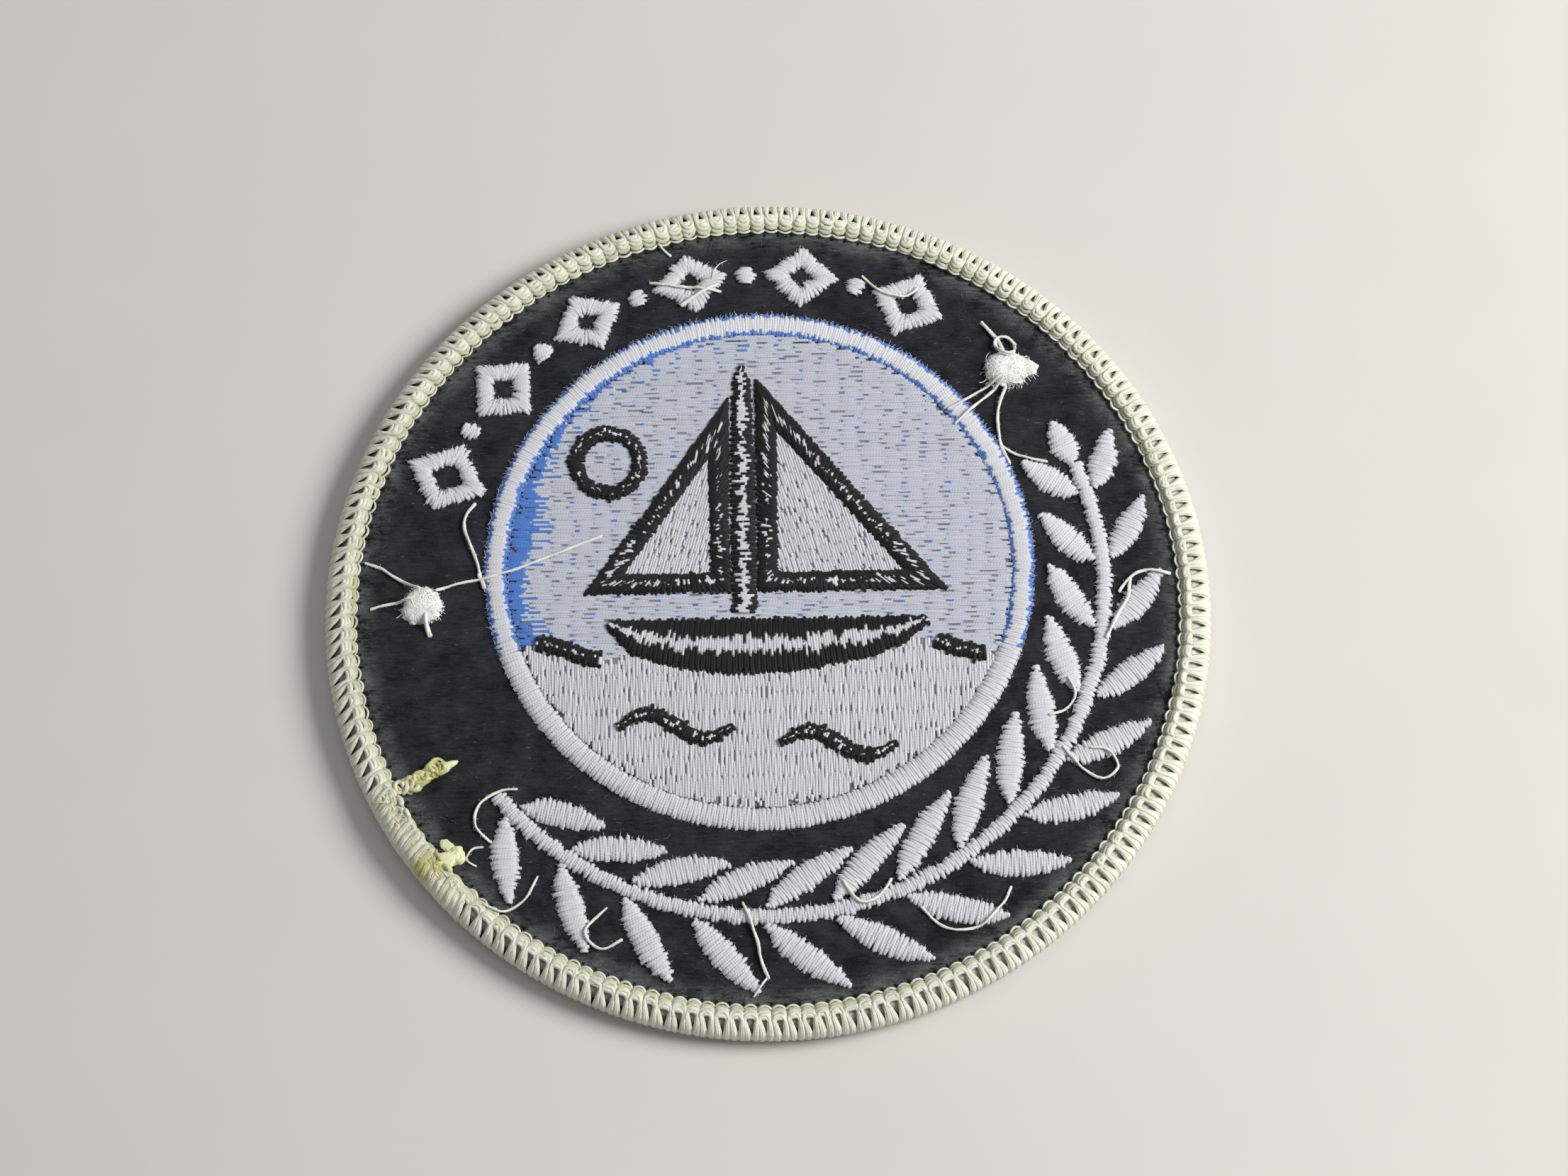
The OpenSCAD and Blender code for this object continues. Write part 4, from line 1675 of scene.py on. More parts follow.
@dataclass
class OverlockedEdge(Assembly):
    """The overlocked edge: yarn looped round the rim, its needle thread, the lap and the loose chain."""

    seed: ClassVar[str] = "edge"
    stitches: int = 188
    plies: int = 4
    first_at: float = 224.6
    opening_end: float = 42.8
    opening_tip: float = 44.05
    opening_half: float = 0.34
    crown_end: float = 41.86
    ply_half: float = 0.18
    front_in: float = 0.245
    inner: float = 41.5
    leg_at: tuple[float, ...] = (1.04, 1.15, 1.3, 1.47, 1.65, 1.85, 2.12, 2.95)
    crown_at: tuple[float, ...] = (8.0, 38.0, 66.0, 90.0, 114.0, 142.0, 172.0)
    soaked_at: tuple[Place, ...] = ((43.9, 217.7), (42.4, 218.3), (41.0, 218.9))
    stained_at: tuple[Place, ...] = (
        (43.0, 208.2), (43.0, 210.2), (43.0, 212.3), (43.0, 214.3), (43.0, 222.0),
    )
    bed_steps: int = 564
    hairs: int = 9
    lap_hairs: int = 26
    hair_off: float = 0.16
    longest_hair: float = 1.0
    lap_strays: int = 34
    stray_points: int = 8
    tail_links: int = 17
    link_points: int = 15
    link_turn: float = 330.0
    tail_l: float = 4.6

    def __post_init__(self) -> None:
        """Works out the loops' distance."""
        super().__post_init__()
        d = self.drawing
        self.pitch_angle = TURN / self.stitches
        self.pitch = math.radians(self.pitch_angle) * d.patch_r
        self.loops = round((TURN - (d.lap_to - d.lap_from)) / self.pitch_angle)

    def build(self) -> None:
        """Winds the whole edge."""
        self.bed()
        self.wraps()
        self.needle_thread()
        self.lap()
        self.tail()

    def skin(self, t: float, up: float = 0.0, lift: float = 0.0) -> Place:
        """A place on the edge's section, from the reverse's inner side round the rim to the front's.

        Args:
            t: 0 to 1 is the reverse's flat, 1 to 2 the rim and 2 to 3 the front's flat.
            up: how far above the skin the place is.
            lift: how much thicker the edge is there.

        Returns:
            The place's radius and height.
        """
        d = self.drawing
        rim = d.patch_r - d.border_round
        r = d.border_round - self.ply_half * 0.3 + up
        top = d.border_t + lift - d.border_round
        if t <= 1:
            return between(self.inner, rim, t), top + r
        if t >= 2:
            return between(rim, d.border_in + 0.3, t - 2), d.border_round - r + self.front_in
        angle = 90 - 180 * (t - 1)
        z = top + r * sine(angle) if angle > 0 else d.border_round + (r - self.front_in) * sine(angle)
        return rim + r * cosine(angle), z

    def lay_loop(self, strands: Strands, loop: Loop) -> list[Spot]:
        """Lays a loop's plies: up round the rim, round the inner end of the opening and back.

        Args:
            strands: the yarn so far.
            loop: the loop.

        Returns:
            The points of all its plies.
        """
        chance, wall, first = self.chance, self.ply_half * 0.8, len(strands.points)
        gap = (loop.end - self.crown_end) / (self.plies - 1)
        half, lowest, full = self.pitch / 2, gap * (self.plies - 0.5), clamp(gap / 0.29, 1.0, 1.25)
        tint = chance.random()
        for ply in range(self.plies):
            reach, level = (ply + 0.5) / self.plies, ply / (self.plies - 0.7)
            laid: list[tuple[Spot, float, float]] = []
            puff = chance.uniform(0.7, 1.3)
            round_up = 0.16 * sine(180 * reach) - 0.12
            stray, aside = chance.gauss(0, 0.05) * (ply > 0), chance.gauss(0, 0.04)

            def put(across: float, radius: float, z: float, shade: float, wide: float) -> None:
                """Adds a point.

                Args:
                    across: its distance from the loop's own middle line.
                    radius: its radius.
                    z: its height.
                    shade: how deep in the shade it is.
                    wide: the ply's width there, as a share.
                """
                drift = loop.lean * smooth_step((radius - 42.5) / 1.9 if z > 1.5 else 1.0)
                place = polar(radius, loop.at + math.degrees((across + drift) / radius))
                laid.append(((*place, z), clamp(shade), self.ply_half * wide))

            def leg(side: int) -> None:
                """Adds one leg.

                Args:
                    side: -1 comes inwards over the rim, 1 goes out over it.
                """
                for t in self.leg_at[::side]:
                    radius, z = self.skin(t, round_up, loop.lift)
                    if t >= 1.5 or radius >= loop.end + 0.5:
                        share = clamp((loop.tip - radius) / (loop.tip - loop.end)) ** 0.75 * (t < 1.5)
                        across = between(loop.opening * share + wall, half, level)
                        shade = 0.30 * (1 - reach) * (t < 1.3) + 0.25 * smooth_step((t - 1.5) * 2)
                        wide = 0.92 + 0.16 * smooth_step((t - 1) * 3)
                        put(side * across, radius, z + 0.3 * (t > 2.9), shade, wide)

            leg(-1)
            across = between(loop.opening + wall, half, level)
            crown_z = self.skin(0.5, round_up, loop.lift)[1]
            for angle in self.crown_at:
                c, far = cosine(angle), sine(angle)
                radius = loop.end + 0.38 - (0.50 + ply * gap) * far**0.62 + stray * far
                slope = clamp((loop.end - radius) / lowest) ** 2
                z = crown_z + 0.10 * puff * far - 0.30 * slope
                shade = 0.08 + 0.6 * reach**3 * abs(c) ** 1.5 + 0.55 * slope
                uneven = chance.gauss(0, 0.035) * (ply > 0)
                sideways = aside * far - across * math.copysign(abs(c) ** 0.72, c)
                put(sideways, radius + uneven, z + uneven, shade, 0.95 + (1.38 * full - 0.95) * far)
            leg(1)
            path, deep, thick = zip(*laid)
            strands.lay(path, thick=thick, tint=clamp(tint + chance.gauss(0, 0.18)), deep=deep)
        return strands.points[first:]

    def lean(self, angle: float) -> float:
        """How far a loop's outer end is turned, which is most at the left."""
        return 0.16 + 0.74 * (0.5 - 0.5 * cosine(angle)) ** 3

    def loop_at(self, at: float) -> Loop:
        """Shapes a loop, whose opening is small at the top, long at the bottom and wide at the right.

        Args:
            at: its angle.

        Returns:
            The loop.
        """
        chance = self.chance
        right, left = max(cosine(at), 0.0), max(-cosine(at), 0.0)
        top, bottom = max(sine(at), 0.0), max(-sine(at), 0.0)
        opening = self.opening_half + 0.04 * right + 0.08 * left + 0.03 * bottom - 0.10 * top
        opening *= clamp(chance.gauss(1, 0.18), 0.4, 1.2)
        tip = self.opening_tip + 0.2 * left + 0.4 * bottom - 0.12 * top + chance.gauss(0, 0.08)
        end = self.opening_end + 0.3 * top - 0.35 * right + chance.gauss(0, 0.05)
        return Loop(at, opening, tip, end, self.lean(at) * chance.uniform(0.85, 1.15))

    def fluff(self, hairs: Strands, path: Sequence[Spot], count: int) -> None:
        """Adds fine filaments that stand off a yarn's plies.

        Args:
            hairs: the filaments so far.
            path: the yarn's points.
            count: how many to add.
        """
        chance = self.chance
        for _ in range(count):
            i = chance.randrange(len(path) - 1)
            if apart(path[i], path[i + 1]) > self.longest_hair:
                continue
            ends = [tuple(c + chance.gauss(0, 0.10) for c in path[k]) for k in (i, i + 1)]
            out = 1 + self.hair_off / 44
            middle = [between(a, b, 0.5) * (out if k < 2 else 1) for k, (a, b) in enumerate(zip(*ends))]
            middle[2] += self.hair_off if middle[2] > 2.2 else 0.0
            tip = chance.uniform(0.006, 0.012)
            hairs.lay([ends[0], tuple(middle), ends[1]], thick=[tip, tip * 2, tip], tint=chance.random())

    def wraps(self) -> None:
        """Winds the loops all round but for the lap."""
        strands, hairs = Strands(CREAM_YARN, "edge_wraps", "merrow_border"), Strands(CREAM_FUZZ, "edge_fuzz")
        for i in range(self.loops):
            at = self.first_at + (i + self.chance.gauss(0, 0.035)) * self.pitch_angle
            self.fluff(hairs, self.lay_loop(strands, self.loop_at(at)), self.hairs)
        self.shop.spin(strands, flatness=0.6, wander_mm=0.09, tree=self.shop.wrap_tree)
        self.shop.spin(hairs, flatness=1.0, sides=3)

    def needle_thread(self) -> None:
        """Lays the thin thread that runs in scallops along the inner side."""
        d, chance, strands = self.drawing, self.chance, Strands(CREAM_YARN, "edge_needle_thread")
        for i in range(self.loops + 1):
            at = self.first_at + i * self.pitch_angle
            depth, wide = chance.uniform(0.8, 1.05), chance.uniform(0.11, 0.15)
            path = []
            for t in np.linspace(0, 1, 9):
                far = sine(180 * t)
                radius = d.border_in + 0.66 - 0.46 * depth * far**0.7
                place = polar(radius, at + self.pitch_angle * (t - 0.5))
                path.append((*place, d.felt_top + 0.02 + 0.26 * far**0.5))
            # deep gives the needle thread a little painted shade all along.
            strands.lay(path, thick=wide, tint=chance.random(), deep=0.16)
        self.shop.spin(strands, flatness=0.9, wander_mm=0.1)

    def bed(self) -> None:
        """Makes the bundle of yarn that the loops are wound round, with painted shade in their openings."""
        d = self.drawing
        low, high, inner, outer = 0.62, d.border_t - 0.33, d.border_in + 0.35, d.patch_r - 0.45
        section = [
            (d.cloth_r + 0.03, low), (outer - 0.5, low), (outer, low + 0.5), (outer, 1.9),
            (outer - 0.5, high - 0.35), (outer - 1.0, high), (inner + 0.9, high),
            (inner, d.felt_top + 0.03), (inner, d.felt_top - 0.25), (d.cloth_r + 0.03, d.felt_top - 0.25),
        ]
        steps, k = self.bed_steps, len(section)
        points, faces = [], []
        for i in range(steps):
            lump = 0.05 * (1 + math.sin(i * 2.4) * math.sin(i * 0.71))
            points += [(*polar(r, TURN * i / steps), z - lump * (z > 2.7)) for r, z in section]
            a, b = i * k, (i + 1) % steps * k
            faces += [(a + j, b + j, b + (j + 1) % k, a + (j + 1) % k) for j in range(k)]
        self.shop.hand_over(solid("edge_bed", points, faces, EDGE_BED), EDGE_BED)

    def lap(self) -> None:
        """Winds the stretch where both ends lie on each other, pulled tight and in places glued."""
        d, chance = self.drawing, self.chance
        strands, hairs = Strands(CREAM_YARN, "edge_lap", "border_lap"), Strands(CREAM_FUZZ, "lap_fuzz")
        for layer in (0, 1):
            at = d.lap_from + 0.4 + 0.9 * layer
            while at < d.lap_to - 0.2:
                fade = smooth_step((at - d.lap_from) / 2.5) * smooth_step((d.lap_to - at) / 2.5)
                end = 42.66 - (0.35 + 0.5 * layer) * fade + chance.gauss(0, 0.12)
                opening = 0.02 + 0.2 * chance.random() ** 2
                lift = d.lap_up * fade * (0.35 + 0.55 * layer) + chance.gauss(0, 0.02)
                lean = self.lean(at) * chance.uniform(0.8, 1.2)
                loop = Loop(at, opening, end + chance.uniform(0.5, 1.2), end, lean, lift)
                self.fluff(hairs, self.lay_loop(strands, loop), self.lap_hairs)
                at += self.pitch_angle * chance.uniform(0.85, 1.15)
        for _ in range(self.lap_strays):
            at = chance.uniform(d.lap_from + 1.2, d.lap_to - 1.2)
            middle, wide = chance.uniform(42.0, 43.5), chance.uniform(0.9, 1.7)
            z = self.skin(0.5, lift=d.lap_up)[1] - 0.06 - 0.2 * smooth_step((42.0 - middle) / 0.6)
            turn, path, n = chance.gauss(0, 24), [], self.stray_points
            for k in range(n):
                a = 180 * k / (n - 1)
                x, y = turned((-0.14 * sine(a), wide * (k / (n - 1) - 0.5)), turn)
                path.append((*polar(middle + x, at + math.degrees(y / middle)), z + 0.10 * sine(a) - 0.06))
            half = chance.uniform(0.10, 0.19)
            thick = [half * (0.25 + 0.75 * sine(180 * (k + 0.3) / 7.6)) for k in range(n)]
            # deep gives each stray a random amount of painted shade.
            strands.lay(path, thick=thick, tint=chance.random(), deep=chance.uniform(0, 0.3))
        soaked = [
            ((*polar(*place), d.border_t), far, strength)
            for places, far, strength in ((self.soaked_at, 1.35, 1.05), (self.stained_at, 0.6, 0.4))
            for place in places
        ]
        strands.values["stain"] = [
            0.03 + max(strength * math.exp(-((apart(p, spot) / far) ** 2)) for spot, far, strength in soaked)
            for p in strands.points
        ]
        self.shop.spin(strands, flatness=0.7, wander_mm=0.3, tree=self.shop.wrap_tree)
        self.shop.spin(hairs, flatness=1.0, sides=3)

    def tail(self) -> None:
        """Lays the loose chain that is turned inwards over the felt."""
        d, chance, strands = self.drawing, self.chance, Strands(CREAM_YARN, "edge_tail", "border_tail")
        at = d.lap_from + math.degrees(math.asin((0.7 + d.gap) / d.tail_r))
        for link in range(self.tail_links):
            t = link / (self.tail_links - 1)
            out = d.tail_r + 0.9 - self.tail_l * t
            wide, long, turn = chance.uniform(0.42, 0.78), chance.uniform(0.5, 0.85), chance.gauss(0, 30)
            across, phase = 0.3 * math.sin(t * 4.4), chance.uniform(0, TURN)
            path = []
            for k in range(self.link_points):
                a = self.link_turn * k / (self.link_points - 1) + phase
                x, y = turned((long * cosine(a), wide * sine(a) + across), turn)
                z = d.felt_top + 0.34 - 0.06 * t + 0.18 * cosine(a * 2 + phase) + 0.16 * (link % 2)
                path.append((*shifted(polar(out, at), turned((x, y), at)), z))
            stain = 0.4 + 0.5 * smooth_step((t - 0.1) / 0.4)
            # deep gives the chain a little painted shade.
            strands.lay(path, thick=chance.uniform(0.17, 0.26), tint=chance.random(), stain=stain, deep=0.05)
        self.shop.spin(strands, flatness=0.9, wander_mm=0.4)


@dataclass
class GlueDabs(Assembly):
    """Dried glue at the lap and on the loose chain's end."""

    rings: int = 12
    steps: int = 44
    points: list[Spot] = field(default_factory=list)
    faces: list[tuple[int, ...]] = field(default_factory=list)

    def dab(self, at: Spot, size: Spot, angle: float, seed: int) -> None:
        """Adds one closed, lumpy dab.

        Args:
            at: the dab's middle, on what it lies on.
            size: its half length, half width and height.
            angle: its long axis.
            seed: which lumps it has.
        """
        chance, steps, first = random.Random(seed), self.steps, len(self.points)
        lumps = [(chance.uniform(0.5, 1.0) * 0.36 / k, k, chance.uniform(0, TURN)) for k in (3, 4, 6, 9)]
        self.points.append((at[0], at[1], at[2] + size[2]))
        for ring in range(1, self.rings + 2):
            t = min(ring / self.rings, 1.0)
            for i in range(steps):
                a = TURN * i / steps
                rim = 1 + sum(h * sine(k * a + p) for h, k, p in lumps)
                x, y = turned((size[0] * t * rim * cosine(a), size[1] * t * rim * sine(a)), angle)
                swell = 0.3 * sine(2 * a + 30 * ring) * sine(a - 50 * ring + 40) + chance.gauss(0, 0.06)
                swell += 0.2 * sine(5 * a + 60 * ring) * sine(55 * ring + 4 * a)
                swell = 1 + swell * smooth_step(t * 1.2)
                z = size[2] * math.sqrt(max(1 - t**2.4, 0)) * swell if ring <= self.rings else -0.12
                self.points.append((at[0] + x, at[1] + y, at[2] + z))
        for i in range(steps):
            a, b = first + 1 + i, first + 1 + (i + 1) % steps
            self.faces.append((first, a, b))
            for k in range(0, self.rings * steps, steps):
                self.faces.append((a + k, a + k + steps, b + k + steps, b + k))
        outer = first + 1 + self.rings * steps
        self.faces.append(tuple(outer + i for i in reversed(range(steps))))

    def build(self) -> None:
        """Makes all dabs as one piece."""
        d = self.drawing
        felt, edge = d.felt_top, d.border_t
        for radius, angle, z, size, turn, seed in (
            (d.tail_r - 0.1, d.glue_at + 1.0, felt - 0.02, (0.95, 0.6, 0.2), d.glue_at + 90, 3),
            (d.tail_r - 0.05, 218.9, felt + 0.1, (1.15, 0.95, 0.5), 214.0, 9),
            (41.5, 218.7, edge + 0.06, (1.1, 0.85, 0.17), 214.0, 4),
            (43.0, 218.0, edge - 0.02, (1.0, 0.8, 0.15), 205.0, 5),
            (36.3, 206.2, felt + 0.05, (1.4, 0.55, 0.42), 208.0, 6),
            (38.2, 205.9, felt + 0.15, (1.2, 0.5, 0.42), 200.0, 8),
            (40.0, 206.2, felt + 0.1, (0.8, 0.5, 0.4), 230.0, 12),
        ):
            self.dab((*polar(radius, angle), z), size, turn, seed)
        self.shop.hand_over(solid("glue_dabs", self.points, self.faces, GLUE), GLUE, "glue_dab")


# Jump threads and thread ends: half the width, how much thicker the frayed end is, and the places that the
# thread passes, each with how far it stands clear of what is under it.
RUNS = (
    (0.17, 0.3, ((-34.9, 2.6, 0.5), (-37.3, 4.1, 0.15), (-38.9, 5.2, 0.1), (-40.6, 5.9, 0.0))),
    (0.16, 0.5, ((-35.8, 1.7, 0.2), (-37.2, 1.5, 0.1), (-38.5, 1.3, 0.05), (-40.0, 0.9, 0.0))),
    (0.26, 0.6, ((-34.4, 0.2, -0.4), (-34.3, -0.9, 0.0), (-33.9, -2.2, 0.0))),
    (0.15, 0.0, ((-33.4, 2.6, 0.4), (-30.9, 3.5, 0.15), (-28.4, 4.0, 0.0), (-25.4, 4.9, 0.0),
                 (-21.0, 6.6, 0.0), (-16.6, 8.4, -0.1))),
    (0.18, 0.2, ((-29.4, 12.2, 0.0), (-30.3, 10.9, 0.1), (-30.5, 9.4, 0.2), (-29.9, 7.6, 0.2),
                 (-29.2, 5.6, 0.1), (-28.9, 4.2, 0.1))),
    (0.22, 0.6, ((-29.1, 4.5, 0.1), (-28.7, 3.6, 0.05), (-28.5, 2.9, 0.0))),
    (0.22, 0.7, ((24.4, 27.6, 0.3), (24.0, 28.6, 0.25), (23.2, 29.8, 0.1), (22.2, 31.0, 0.0))),
    (0.14, 0.0, ((24.2, 24.6, 0.4), (22.4, 23.6, 0.3), (20.6, 22.5, 0.2), (18.6, 21.4, 0.0))),
    (0.16, 0.0, ((24.4, 24.4, 0.4), (22.9, 23.0, 0.3), (21.0, 21.4, 0.2), (19.3, 19.8, 0.0))),
    (0.18, 0.2, ((24.6, 23.8, 0.4), (23.8, 21.6, 0.2), (23.7, 19.4, 0.1), (24.0, 17.2, 0.1),
                 (24.8, 15.4, 0.0))),
    (0.14, 0.0, ((24.0, 17.4, 0.15), (25.3, 16.5, 0.1), (26.9, 16.0, 0.05), (28.6, 15.6, 0.0))),
    (0.15, 0.3, ((-11.6, 36.0, 0.0), (-9.0, 35.5, 0.05), (-6.4, 35.2, 0.1), (-4.2, 34.9, 0.0))),
    (0.19, 0.4, ((-4.6, 35.6, 0.0), (-6.0, 34.9, 0.15), (-7.2, 34.1, 0.1), (-8.4, 33.3, 0.0))),
    (0.13, 0.3, ((-10.6, 40.3, 0.0), (-10.1, 39.6, 0.05), (-9.3, 38.9, 0.0))),
    (0.05, 0.0, ((-5.2, 36.2, 0.0), (-4.9, 37.2, 0.1), (-4.3, 38.0, 0.1), (-3.6, 38.4, 0.0))),
    (0.17, 0.2, ((-3.0, -30.6, 0.0), (-2.3, -32.4, 0.1), (-1.6, -34.6, 0.2), (-1.2, -36.8, 0.15),
                 (-0.5, -38.6, 0.0))),
    (0.12, 0.3, ((-0.5, -38.2, 0.0), (-1.2, -39.2, 0.1), (-2.0, -40.4, 0.0))),
    (0.17, 0.2, ((35.3, 1.4, 0.0), (36.6, 3.0, 0.1), (38.2, 3.6, 0.1), (40.6, 3.2, 0.1))),
    (0.20, 0.2, ((36.5, 2.9, 0.0), (36.2, 0.8, 0.1), (35.0, -1.4, 0.1), (33.9, -3.6, 0.0))),
    (0.15, 0.0, ((29.2, -15.0, 0.0), (31.0, -17.2, 0.1), (33.0, -18.4, 0.15), (34.6, -17.2, 0.15),
                 (33.6, -15.4, 0.1), (31.9, -15.2, 0.0))),
    (0.15, 0.0, ((-27.8, -24.0, 0.0), (-29.4, -22.2, 0.15), (-29.0, -20.0, 0.2), (-27.0, -18.6, 0.1),
                 (-25.2, -18.4, 0.0))),
    (0.12, 0.0, ((-28.6, -24.4, 0.0), (-29.7, -24.6, 0.1), (-30.3, -25.7, 0.1), (-29.3, -26.4, 0.0))),
    (0.15, 0.0, ((14.6, -31.4, 0.0), (17.0, -33.6, 0.1), (20.2, -33.6, 0.15), (22.6, -31.4, 0.1),
                 (23.6, -29.4, 0.0))),
    (0.15, 0.0, ((-16.4, -30.9, 0.0), (-18.6, -33.4, 0.15), (-17.0, -35.2, 0.1), (-14.9, -34.2, 0.0))),
    (0.16, 0.0, ((7.0, -28.6, 0.0), (8.6, -30.8, 0.1), (10.6, -30.2, 0.1), (11.8, -28.4, 0.0))),
    (0.14, 0.0, ((27.9, -11.6, 0.0), (29.6, -11.0, 0.15), (30.6, -9.4, 0.1), (29.9, -7.6, 0.0))),
    (0.14, 0.3, ((-23.2, -27.5, 0.0), (-24.6, -30.0, 0.1), (-26.8, -31.2, 0.05), (-28.6, -30.4, 0.0))),
    (0.13, 0.0, ((10.2, 36.4, 0.0), (12.0, 34.6, 0.1), (14.4, 33.9, 0.15), (16.0, 34.9, 0.0))),
)


@dataclass
class LooseThreads(Assembly):
    """Jump threads, thread ends, knots, fuzz and lint."""

    seed: ClassVar[str] = "loose"
    left_knot_at: float = 178.0
    right_knot_at: float = 47.0
    knot_hairs: int = 1600
    knot_loose_hairs: int = 14
    fuzzy_share: float = 0.92
    fuzz_in: float = 0.25
    lint_fibres: int = 2400
    ply_turn: float = 13.0
    plies: tuple[int, int] = (0, 180)
    loop_turns: tuple[float, ...] = (0.0, 55.0, 110.0)
    highest: float = 8.0

    def build(self) -> None:
        """Lays everything that is loose."""
        left = ((0.0, 0.0, 1.95), (-0.9, -0.7, 1.2))
        right = ((-0.05, -0.35, 1.85), (0.9, -0.4, 1.8), (2.5, -0.3, 0.95))
        self.knot("knot_dot_left", self.left_knot_at, left, 1.15)
        self.knot("knot_dot_right", self.right_knot_at, right, 1.3)
        self.threads()
        self.fuzz()
        self.lint()

    def ground(self, x: float, y: float) -> float:
        """Finds the height of the uppermost surface at a place.

        Args:
            x: the place's x.
            y: its y.

        Returns:
            The height.
        """
        start, down = Vector((x * MM, y * MM, self.highest * MM)), Vector((0, 0, -1))
        hit, spot, *_ = bpy.context.scene.ray_cast(bpy.context.evaluated_depsgraph_get(), start, down)
        return spot.z / MM if hit else self.drawing.felt_top

    def curved(self, corners: Sequence[Spot], step: float = 0.2) -> list[Spot]:
        """Draws a smooth line through corners.

        Args:
            corners: the corners.
            step: distance between the line's points.

        Returns:
            The line's points.
        """
        line, path = [corners[0], *corners, corners[-1]], []
        for a, b, c, d in zip(line, line[1:], line[2:], line[3:]):
            count = max(2, round(apart(b, c) / step))
            for t in (i / count for i in range(count)):
                path.append(tuple(
                    0.5 * (2 * b[k] + (c[k] - a[k]) * t + (2 * a[k] - 5 * b[k] + 4 * c[k] - d[k]) * t**2
                           + (3 * b[k] - a[k] - 3 * c[k] + d[k]) * t**3)
                    for k in range(3)
                ))
        return [*path, tuple(corners[-1])]

    def lay(self, strands: Strands, corners: Sequence[Spot], half: float, fray: float = 0.0) -> None:
        """Lays a loose thread of two plies on whatever is under it.

        Args:
            strands: where it is laid.
            corners: places that it passes, each with how far it stands clear there.
            half: half its width.
            fray: how much thicker its last stretch is, where it is frayed.
        """
        chance, path = self.chance, self.curved(corners)
        floor, n = [self.ground(x, y) for x, y, _ in path], len(path)
        held = [max(floor[max(i - 2, 0): i + 3]) for i in range(n)]
        held = [sum(held[max(i - 2, 0): i + 3]) / len(held[max(i - 2, 0): i + 3]) for i in range(n)]
        spots = [(x, y, h + half * 0.75 + clear) for (x, y, clear), h in zip(path, held)]
        phase, tint = chance.uniform(0, TURN), chance.uniform(0.2, 0.8)
        for ply in self.plies:
            line, wide = [], []
            for i, (x, y, z) in enumerate(spots):
                turn = i * self.ply_turn + phase + ply
                along = way(spots[max(i - 1, 0)][:2], spots[min(i + 1, n - 1)][:2])
                off = half * 0.24 * (1 + fray * smooth_step((i / n - 0.7) / 0.3))
                side, up = off * cosine(turn), off * 0.8 * sine(turn)
                line.append((x - along[1] * side, y + along[0] * side, z + up))
                wide.append(half * 0.8 * (0.9 + 0.25 * chance.random()) * (0.6 if i in (0, n - 1) else 1))
            # deep gives the second ply a little painted shade.
            strands.lay(line, thick=wide, tint=tint, deep=0.1 * (ply > 0))
        for x, y, z in spots[1:-1]:
            if chance.random() < 0.5:
                angle, length = chance.uniform(0, TURN), chance.uniform(0.2, 0.5)
                middle = shifted((x, y), polar(length / 2, angle))
                end = shifted(middle, polar(length / 2, angle + chance.gauss(0, 35)))
                hair = [(x, y, z), (*middle, z + chance.uniform(-0.05, 0.1)), (*end, z - 0.05)]
                strands.lay(hair, thick=[0.02, 0.016, 0.008], tint=tint)

    def threads(self) -> None:
        """Lays the jump threads and thread ends, and the loop above the right knot."""
        strands, at = Strands(LOOSE_THREAD, "loose_threads"), self.right_knot_at
        for half, fray, corners in RUNS:
            self.lay(strands, corners, half, fray)
        middle = shifted(polar(self.drawing.band_mid(at), at), (0.35, 2.0))
        for turn in self.loop_turns:
            oval = [turned((0.9 * cosine(a), 1.25 * sine(a)), 20 + turn * 0.3) for a in range(-40, 261, 50)]
            self.lay(strands, [(*shifted(middle, p), 0.2 + turn / 400) for p in oval], 0.14)
        self.shop.spin(strands, flatness=0.95, wander_mm=0.12)

    def knot(self, name: str, at: float, lumps: Sequence[Spot], height: float) -> None:
        """Makes a tangle of thread.

        Args:
            name: the solid that it stands for.
            at: its angle round the patch.
            lumps: each lump's place from the tangle's middle, and its radius.
            height: how high a lump of radius 2 is.
        """
        chance, strands = random.Random(f"{SEED} {name}"), Strands(KNOT_THREAD, f"tangled_{name}", name)
        middle, base = polar(self.drawing.band_mid(at), at), self.drawing.felt_top
        heaps = [(shifted(middle, (x, y)), radius, height * (radius / 2) ** 0.6) for x, y, radius in lumps]

        def dome(x: float, y: float) -> float:
            """Height of the tangle at a place."""
            heights = (h * math.sqrt(max(1 - (apart((x, y), spot) / r) ** 2, 0)) for spot, r, h in heaps)
            return base + max(heights)

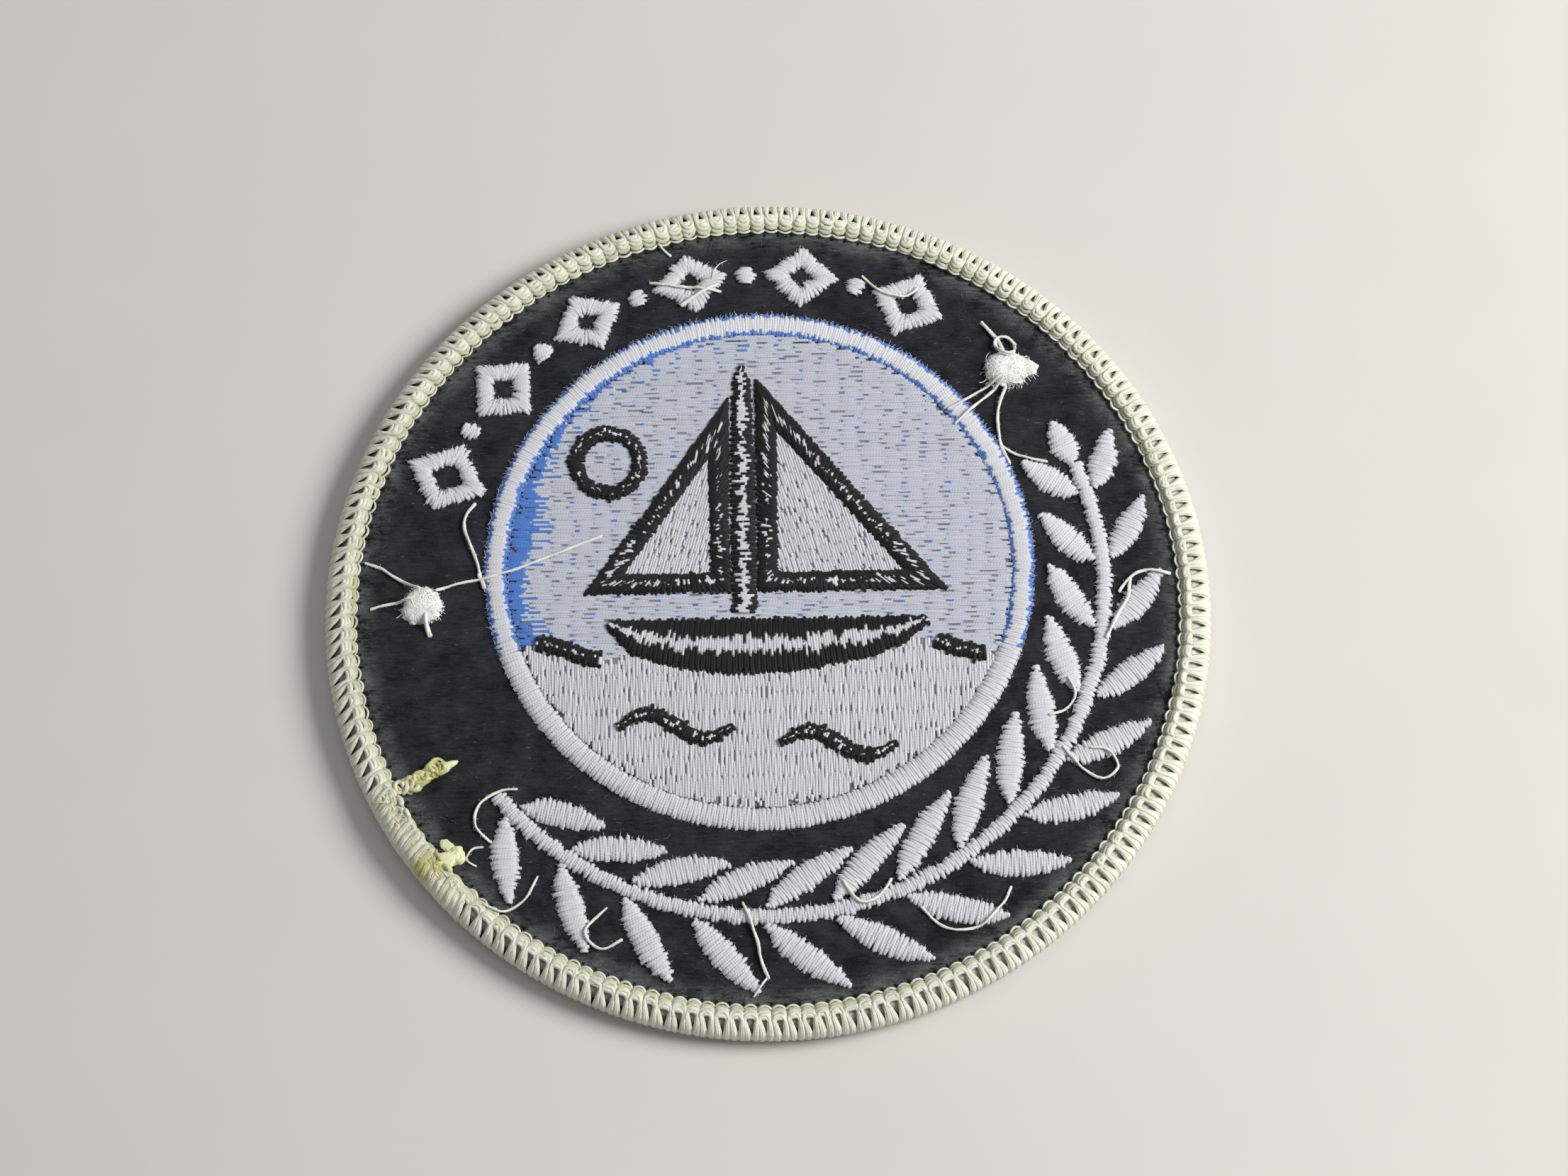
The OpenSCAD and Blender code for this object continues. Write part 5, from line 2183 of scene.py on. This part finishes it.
        for spot, radius, _ in heaps:
            count = round(11 * radius**2)
            for k in range(count):
                x, y = shifted(spot, polar(radius * 0.84 * math.sqrt((k + 0.5) / count), GOLDEN_ANGLE * k))
                reach, z = polar(0.3, chance.uniform(0, TURN)), dome(x, y) - 0.42
                path = [(*shifted((x, y), reach, share), z - 0.15 * share**2) for share in (-1, 0, 1)]
                strands.lay(path, thick=[0.32, chance.uniform(0.44, 0.54), 0.32], tint=chance.random())
        for n in range(self.knot_hairs):
            loose = n < self.knot_loose_hairs
            spot, radius, _ = chance.choices(heaps, [r * r for _, r, _ in heaps])[0]
            x, y = shifted(spot, polar(radius * 0.97 * math.sqrt(chance.random()), chance.uniform(0, TURN)))
            angle, length = chance.uniform(0, TURN), chance.uniform(*((0.9, 1.8) if loose else (0.25, 0.75)))
            bend, clear, steps = chance.gauss(0, 110), chance.uniform(0.01, 0.07), 8 if loose else 3
            path = []
            for k in range(steps + 1):
                path.append((x, y, dome(x, y) + clear * math.sin(math.pi * k / steps)))
                x, y = shifted((x, y), polar(length / steps, angle + bend * k / steps))
            half = chance.uniform(*((0.05, 0.08) if loose else (0.016, 0.032)))
            strands.lay(path, thick=half, tint=chance.random())
        self.shop.spin(strands, flatness=0.9, wander_mm=0.16, sides=4)

    def fuzz(self) -> None:
        """Adds fibres that stand out from the ends of white stitches."""
        chance, strands = self.chance, Strands(WHITE_FUZZ, "stitch_fuzz")
        for a, b in self.shop.ends:
            for start, stop in ((a, b), (b, a)):
                if chance.random() > self.fuzzy_share:
                    continue
                angle = heading(shifted(start, stop, -1)) + chance.gauss(0, 50)
                length = chance.uniform(0.05, 0.42)
                out = shifted(start, polar(self.fuzz_in, angle + 180))
                middle = shifted(out, polar(self.fuzz_in + length * 0.5, angle))
                end = shifted(middle, polar(length * 0.5, angle + chance.gauss(0, 30)))
                z = self.drawing.felt_top + chance.uniform(0.06, 0.2)
                ups = chance.uniform(0, 0.1), chance.uniform(-0.08, 0.1)
                path = [(*out, z), (*middle, z + ups[0]), (*end, z + ups[1])]
                strands.lay(path, thick=[0.020, 0.017, 0.008], tint=chance.random())
        self.shop.spin(strands, flatness=1.0, sides=3)

    def lint(self) -> None:
        """Strews fibres on the felt, most of them level and most beside the edge."""
        d, chance, strands = self.drawing, self.chance, Strands(GREY_LINT, "felt_lint")
        for i in range(self.lint_fibres):
            rim = i % 2 == 0
            r = d.border_in - abs(chance.gauss(0, 0.9)) if rim else d.border_in * math.sqrt(chance.random())
            x, y = polar(r, chance.uniform(0, TURN))
            if apart((x, y), d.medallion_at) < d.medallion_r + 0.1:
                continue
            angle = chance.gauss(0, 60 if rim else 22)
            length, bend = chance.uniform(0.25, 0.8 if rim else 1.1), chance.gauss(0, 25)
            middle = shifted((x, y), polar(length / 2, angle))
            end = shifted(middle, polar(length / 2, angle + bend))
            z = d.felt_top + 0.03
            path = [(x, y, z - 0.03), (*middle, z + chance.uniform(0, 0.06)), (*end, z - 0.02)]
            tint = 1.6 if rim else 2.6
            strands.lay(path, thick=chance.uniform(0.009, 0.018), tint=chance.random() ** tint)
        self.shop.spin(strands, flatness=0.8, sides=3)


@dataclass
class Stage:
    """The floor, the lights and the camera at the photograph's angle. Lamps are placed in metres."""

    aim: Spot = (1.653, 2.848, 1.6)
    distance: float = 643.77
    elevation: float = 69.717
    roll: float = -1.018
    view_angle: float = 14.0
    floor_half: float = 2500.0
    sky: Colour = (0.90, 0.92, 0.95)
    sky_strength: float = 0.30

    def build(self) -> None:
        """Sets up the camera, floor, lamps and sky."""
        self.camera()
        r = self.floor_half
        solid("floor", [(-r, -r, 0), (r, -r, 0), (r, r, 0), (-r, r, 0)], [(0, 1, 2, 3)], FLOOR)
        self.light("window", (0.44, 0.02, 0.38), size=0.31, watts=4.2, colour=(1.0, 0.995, 0.98))
        self.light("fill", (-0.2, 0.3, 0.9), size=0.9, watts=0.95, colour=(0.95, 0.97, 1.0))
        world = bpy.data.worlds.new("studio")
        world.use_nodes = True
        background = world.node_tree.nodes["Background"].inputs
        background["Color"].default_value = (*self.sky, 1.0)
        background["Strength"].default_value = self.sky_strength
        bpy.context.scene.world = world
        bpy.context.scene.view_settings.view_transform = "Standard"

    def camera(self) -> None:
        """Sets up the camera."""
        data = bpy.data.cameras.new("camera")
        data.sensor_fit = "HORIZONTAL"
        data.angle = math.radians(self.view_angle)
        data.clip_start, data.clip_end = 0.05, 10.0
        back = Vector((0.0, -cosine(self.elevation), sine(self.elevation)))
        level = Vector((1.0, 0.0, 0.0))
        right = level * cosine(self.roll) + back.cross(level) * sine(self.roll)
        axes = Matrix((right, back.cross(right), back)).transposed().to_4x4()
        camera = linked("camera", data)
        camera.matrix_world = Matrix.Translation((Vector(self.aim) + back * self.distance) * MM) @ axes
        bpy.context.scene.camera = camera

    def light(self, name: str, at: Spot, size: float, watts: float, colour: Colour) -> None:
        """Hangs a soft lamp that shines on the patch.

        Args:
            name: its name.
            at: its place.
            size: its width.
            watts: its power.
            colour: its colour.
        """
        data = bpy.data.lights.new(name, "AREA")
        data.shape, data.size, data.energy, data.color = "DISK", size, watts, colour
        lamp = linked(name, data)
        lamp.location, lamp.rotation_mode = at, "QUATERNION"
        lamp.rotation_quaternion = (-Vector(at)).to_track_quat("-Z", "Y")


def main() -> None:
    """Builds the patch, piece by piece."""
    logging.basicConfig(level=logging.INFO, format="%(message)s", stream=sys.stdout)
    shop = Workshop(Drawing())
    for assembly in (Medallion, Band, OverlockedEdge, ClothDiscs, GlueDabs, LooseThreads):
        assembly(shop).build()
    Stage().build()
    log.info("all pieces: %d triangles", shop.triangles)


if __name__ == "__main__":
    main()
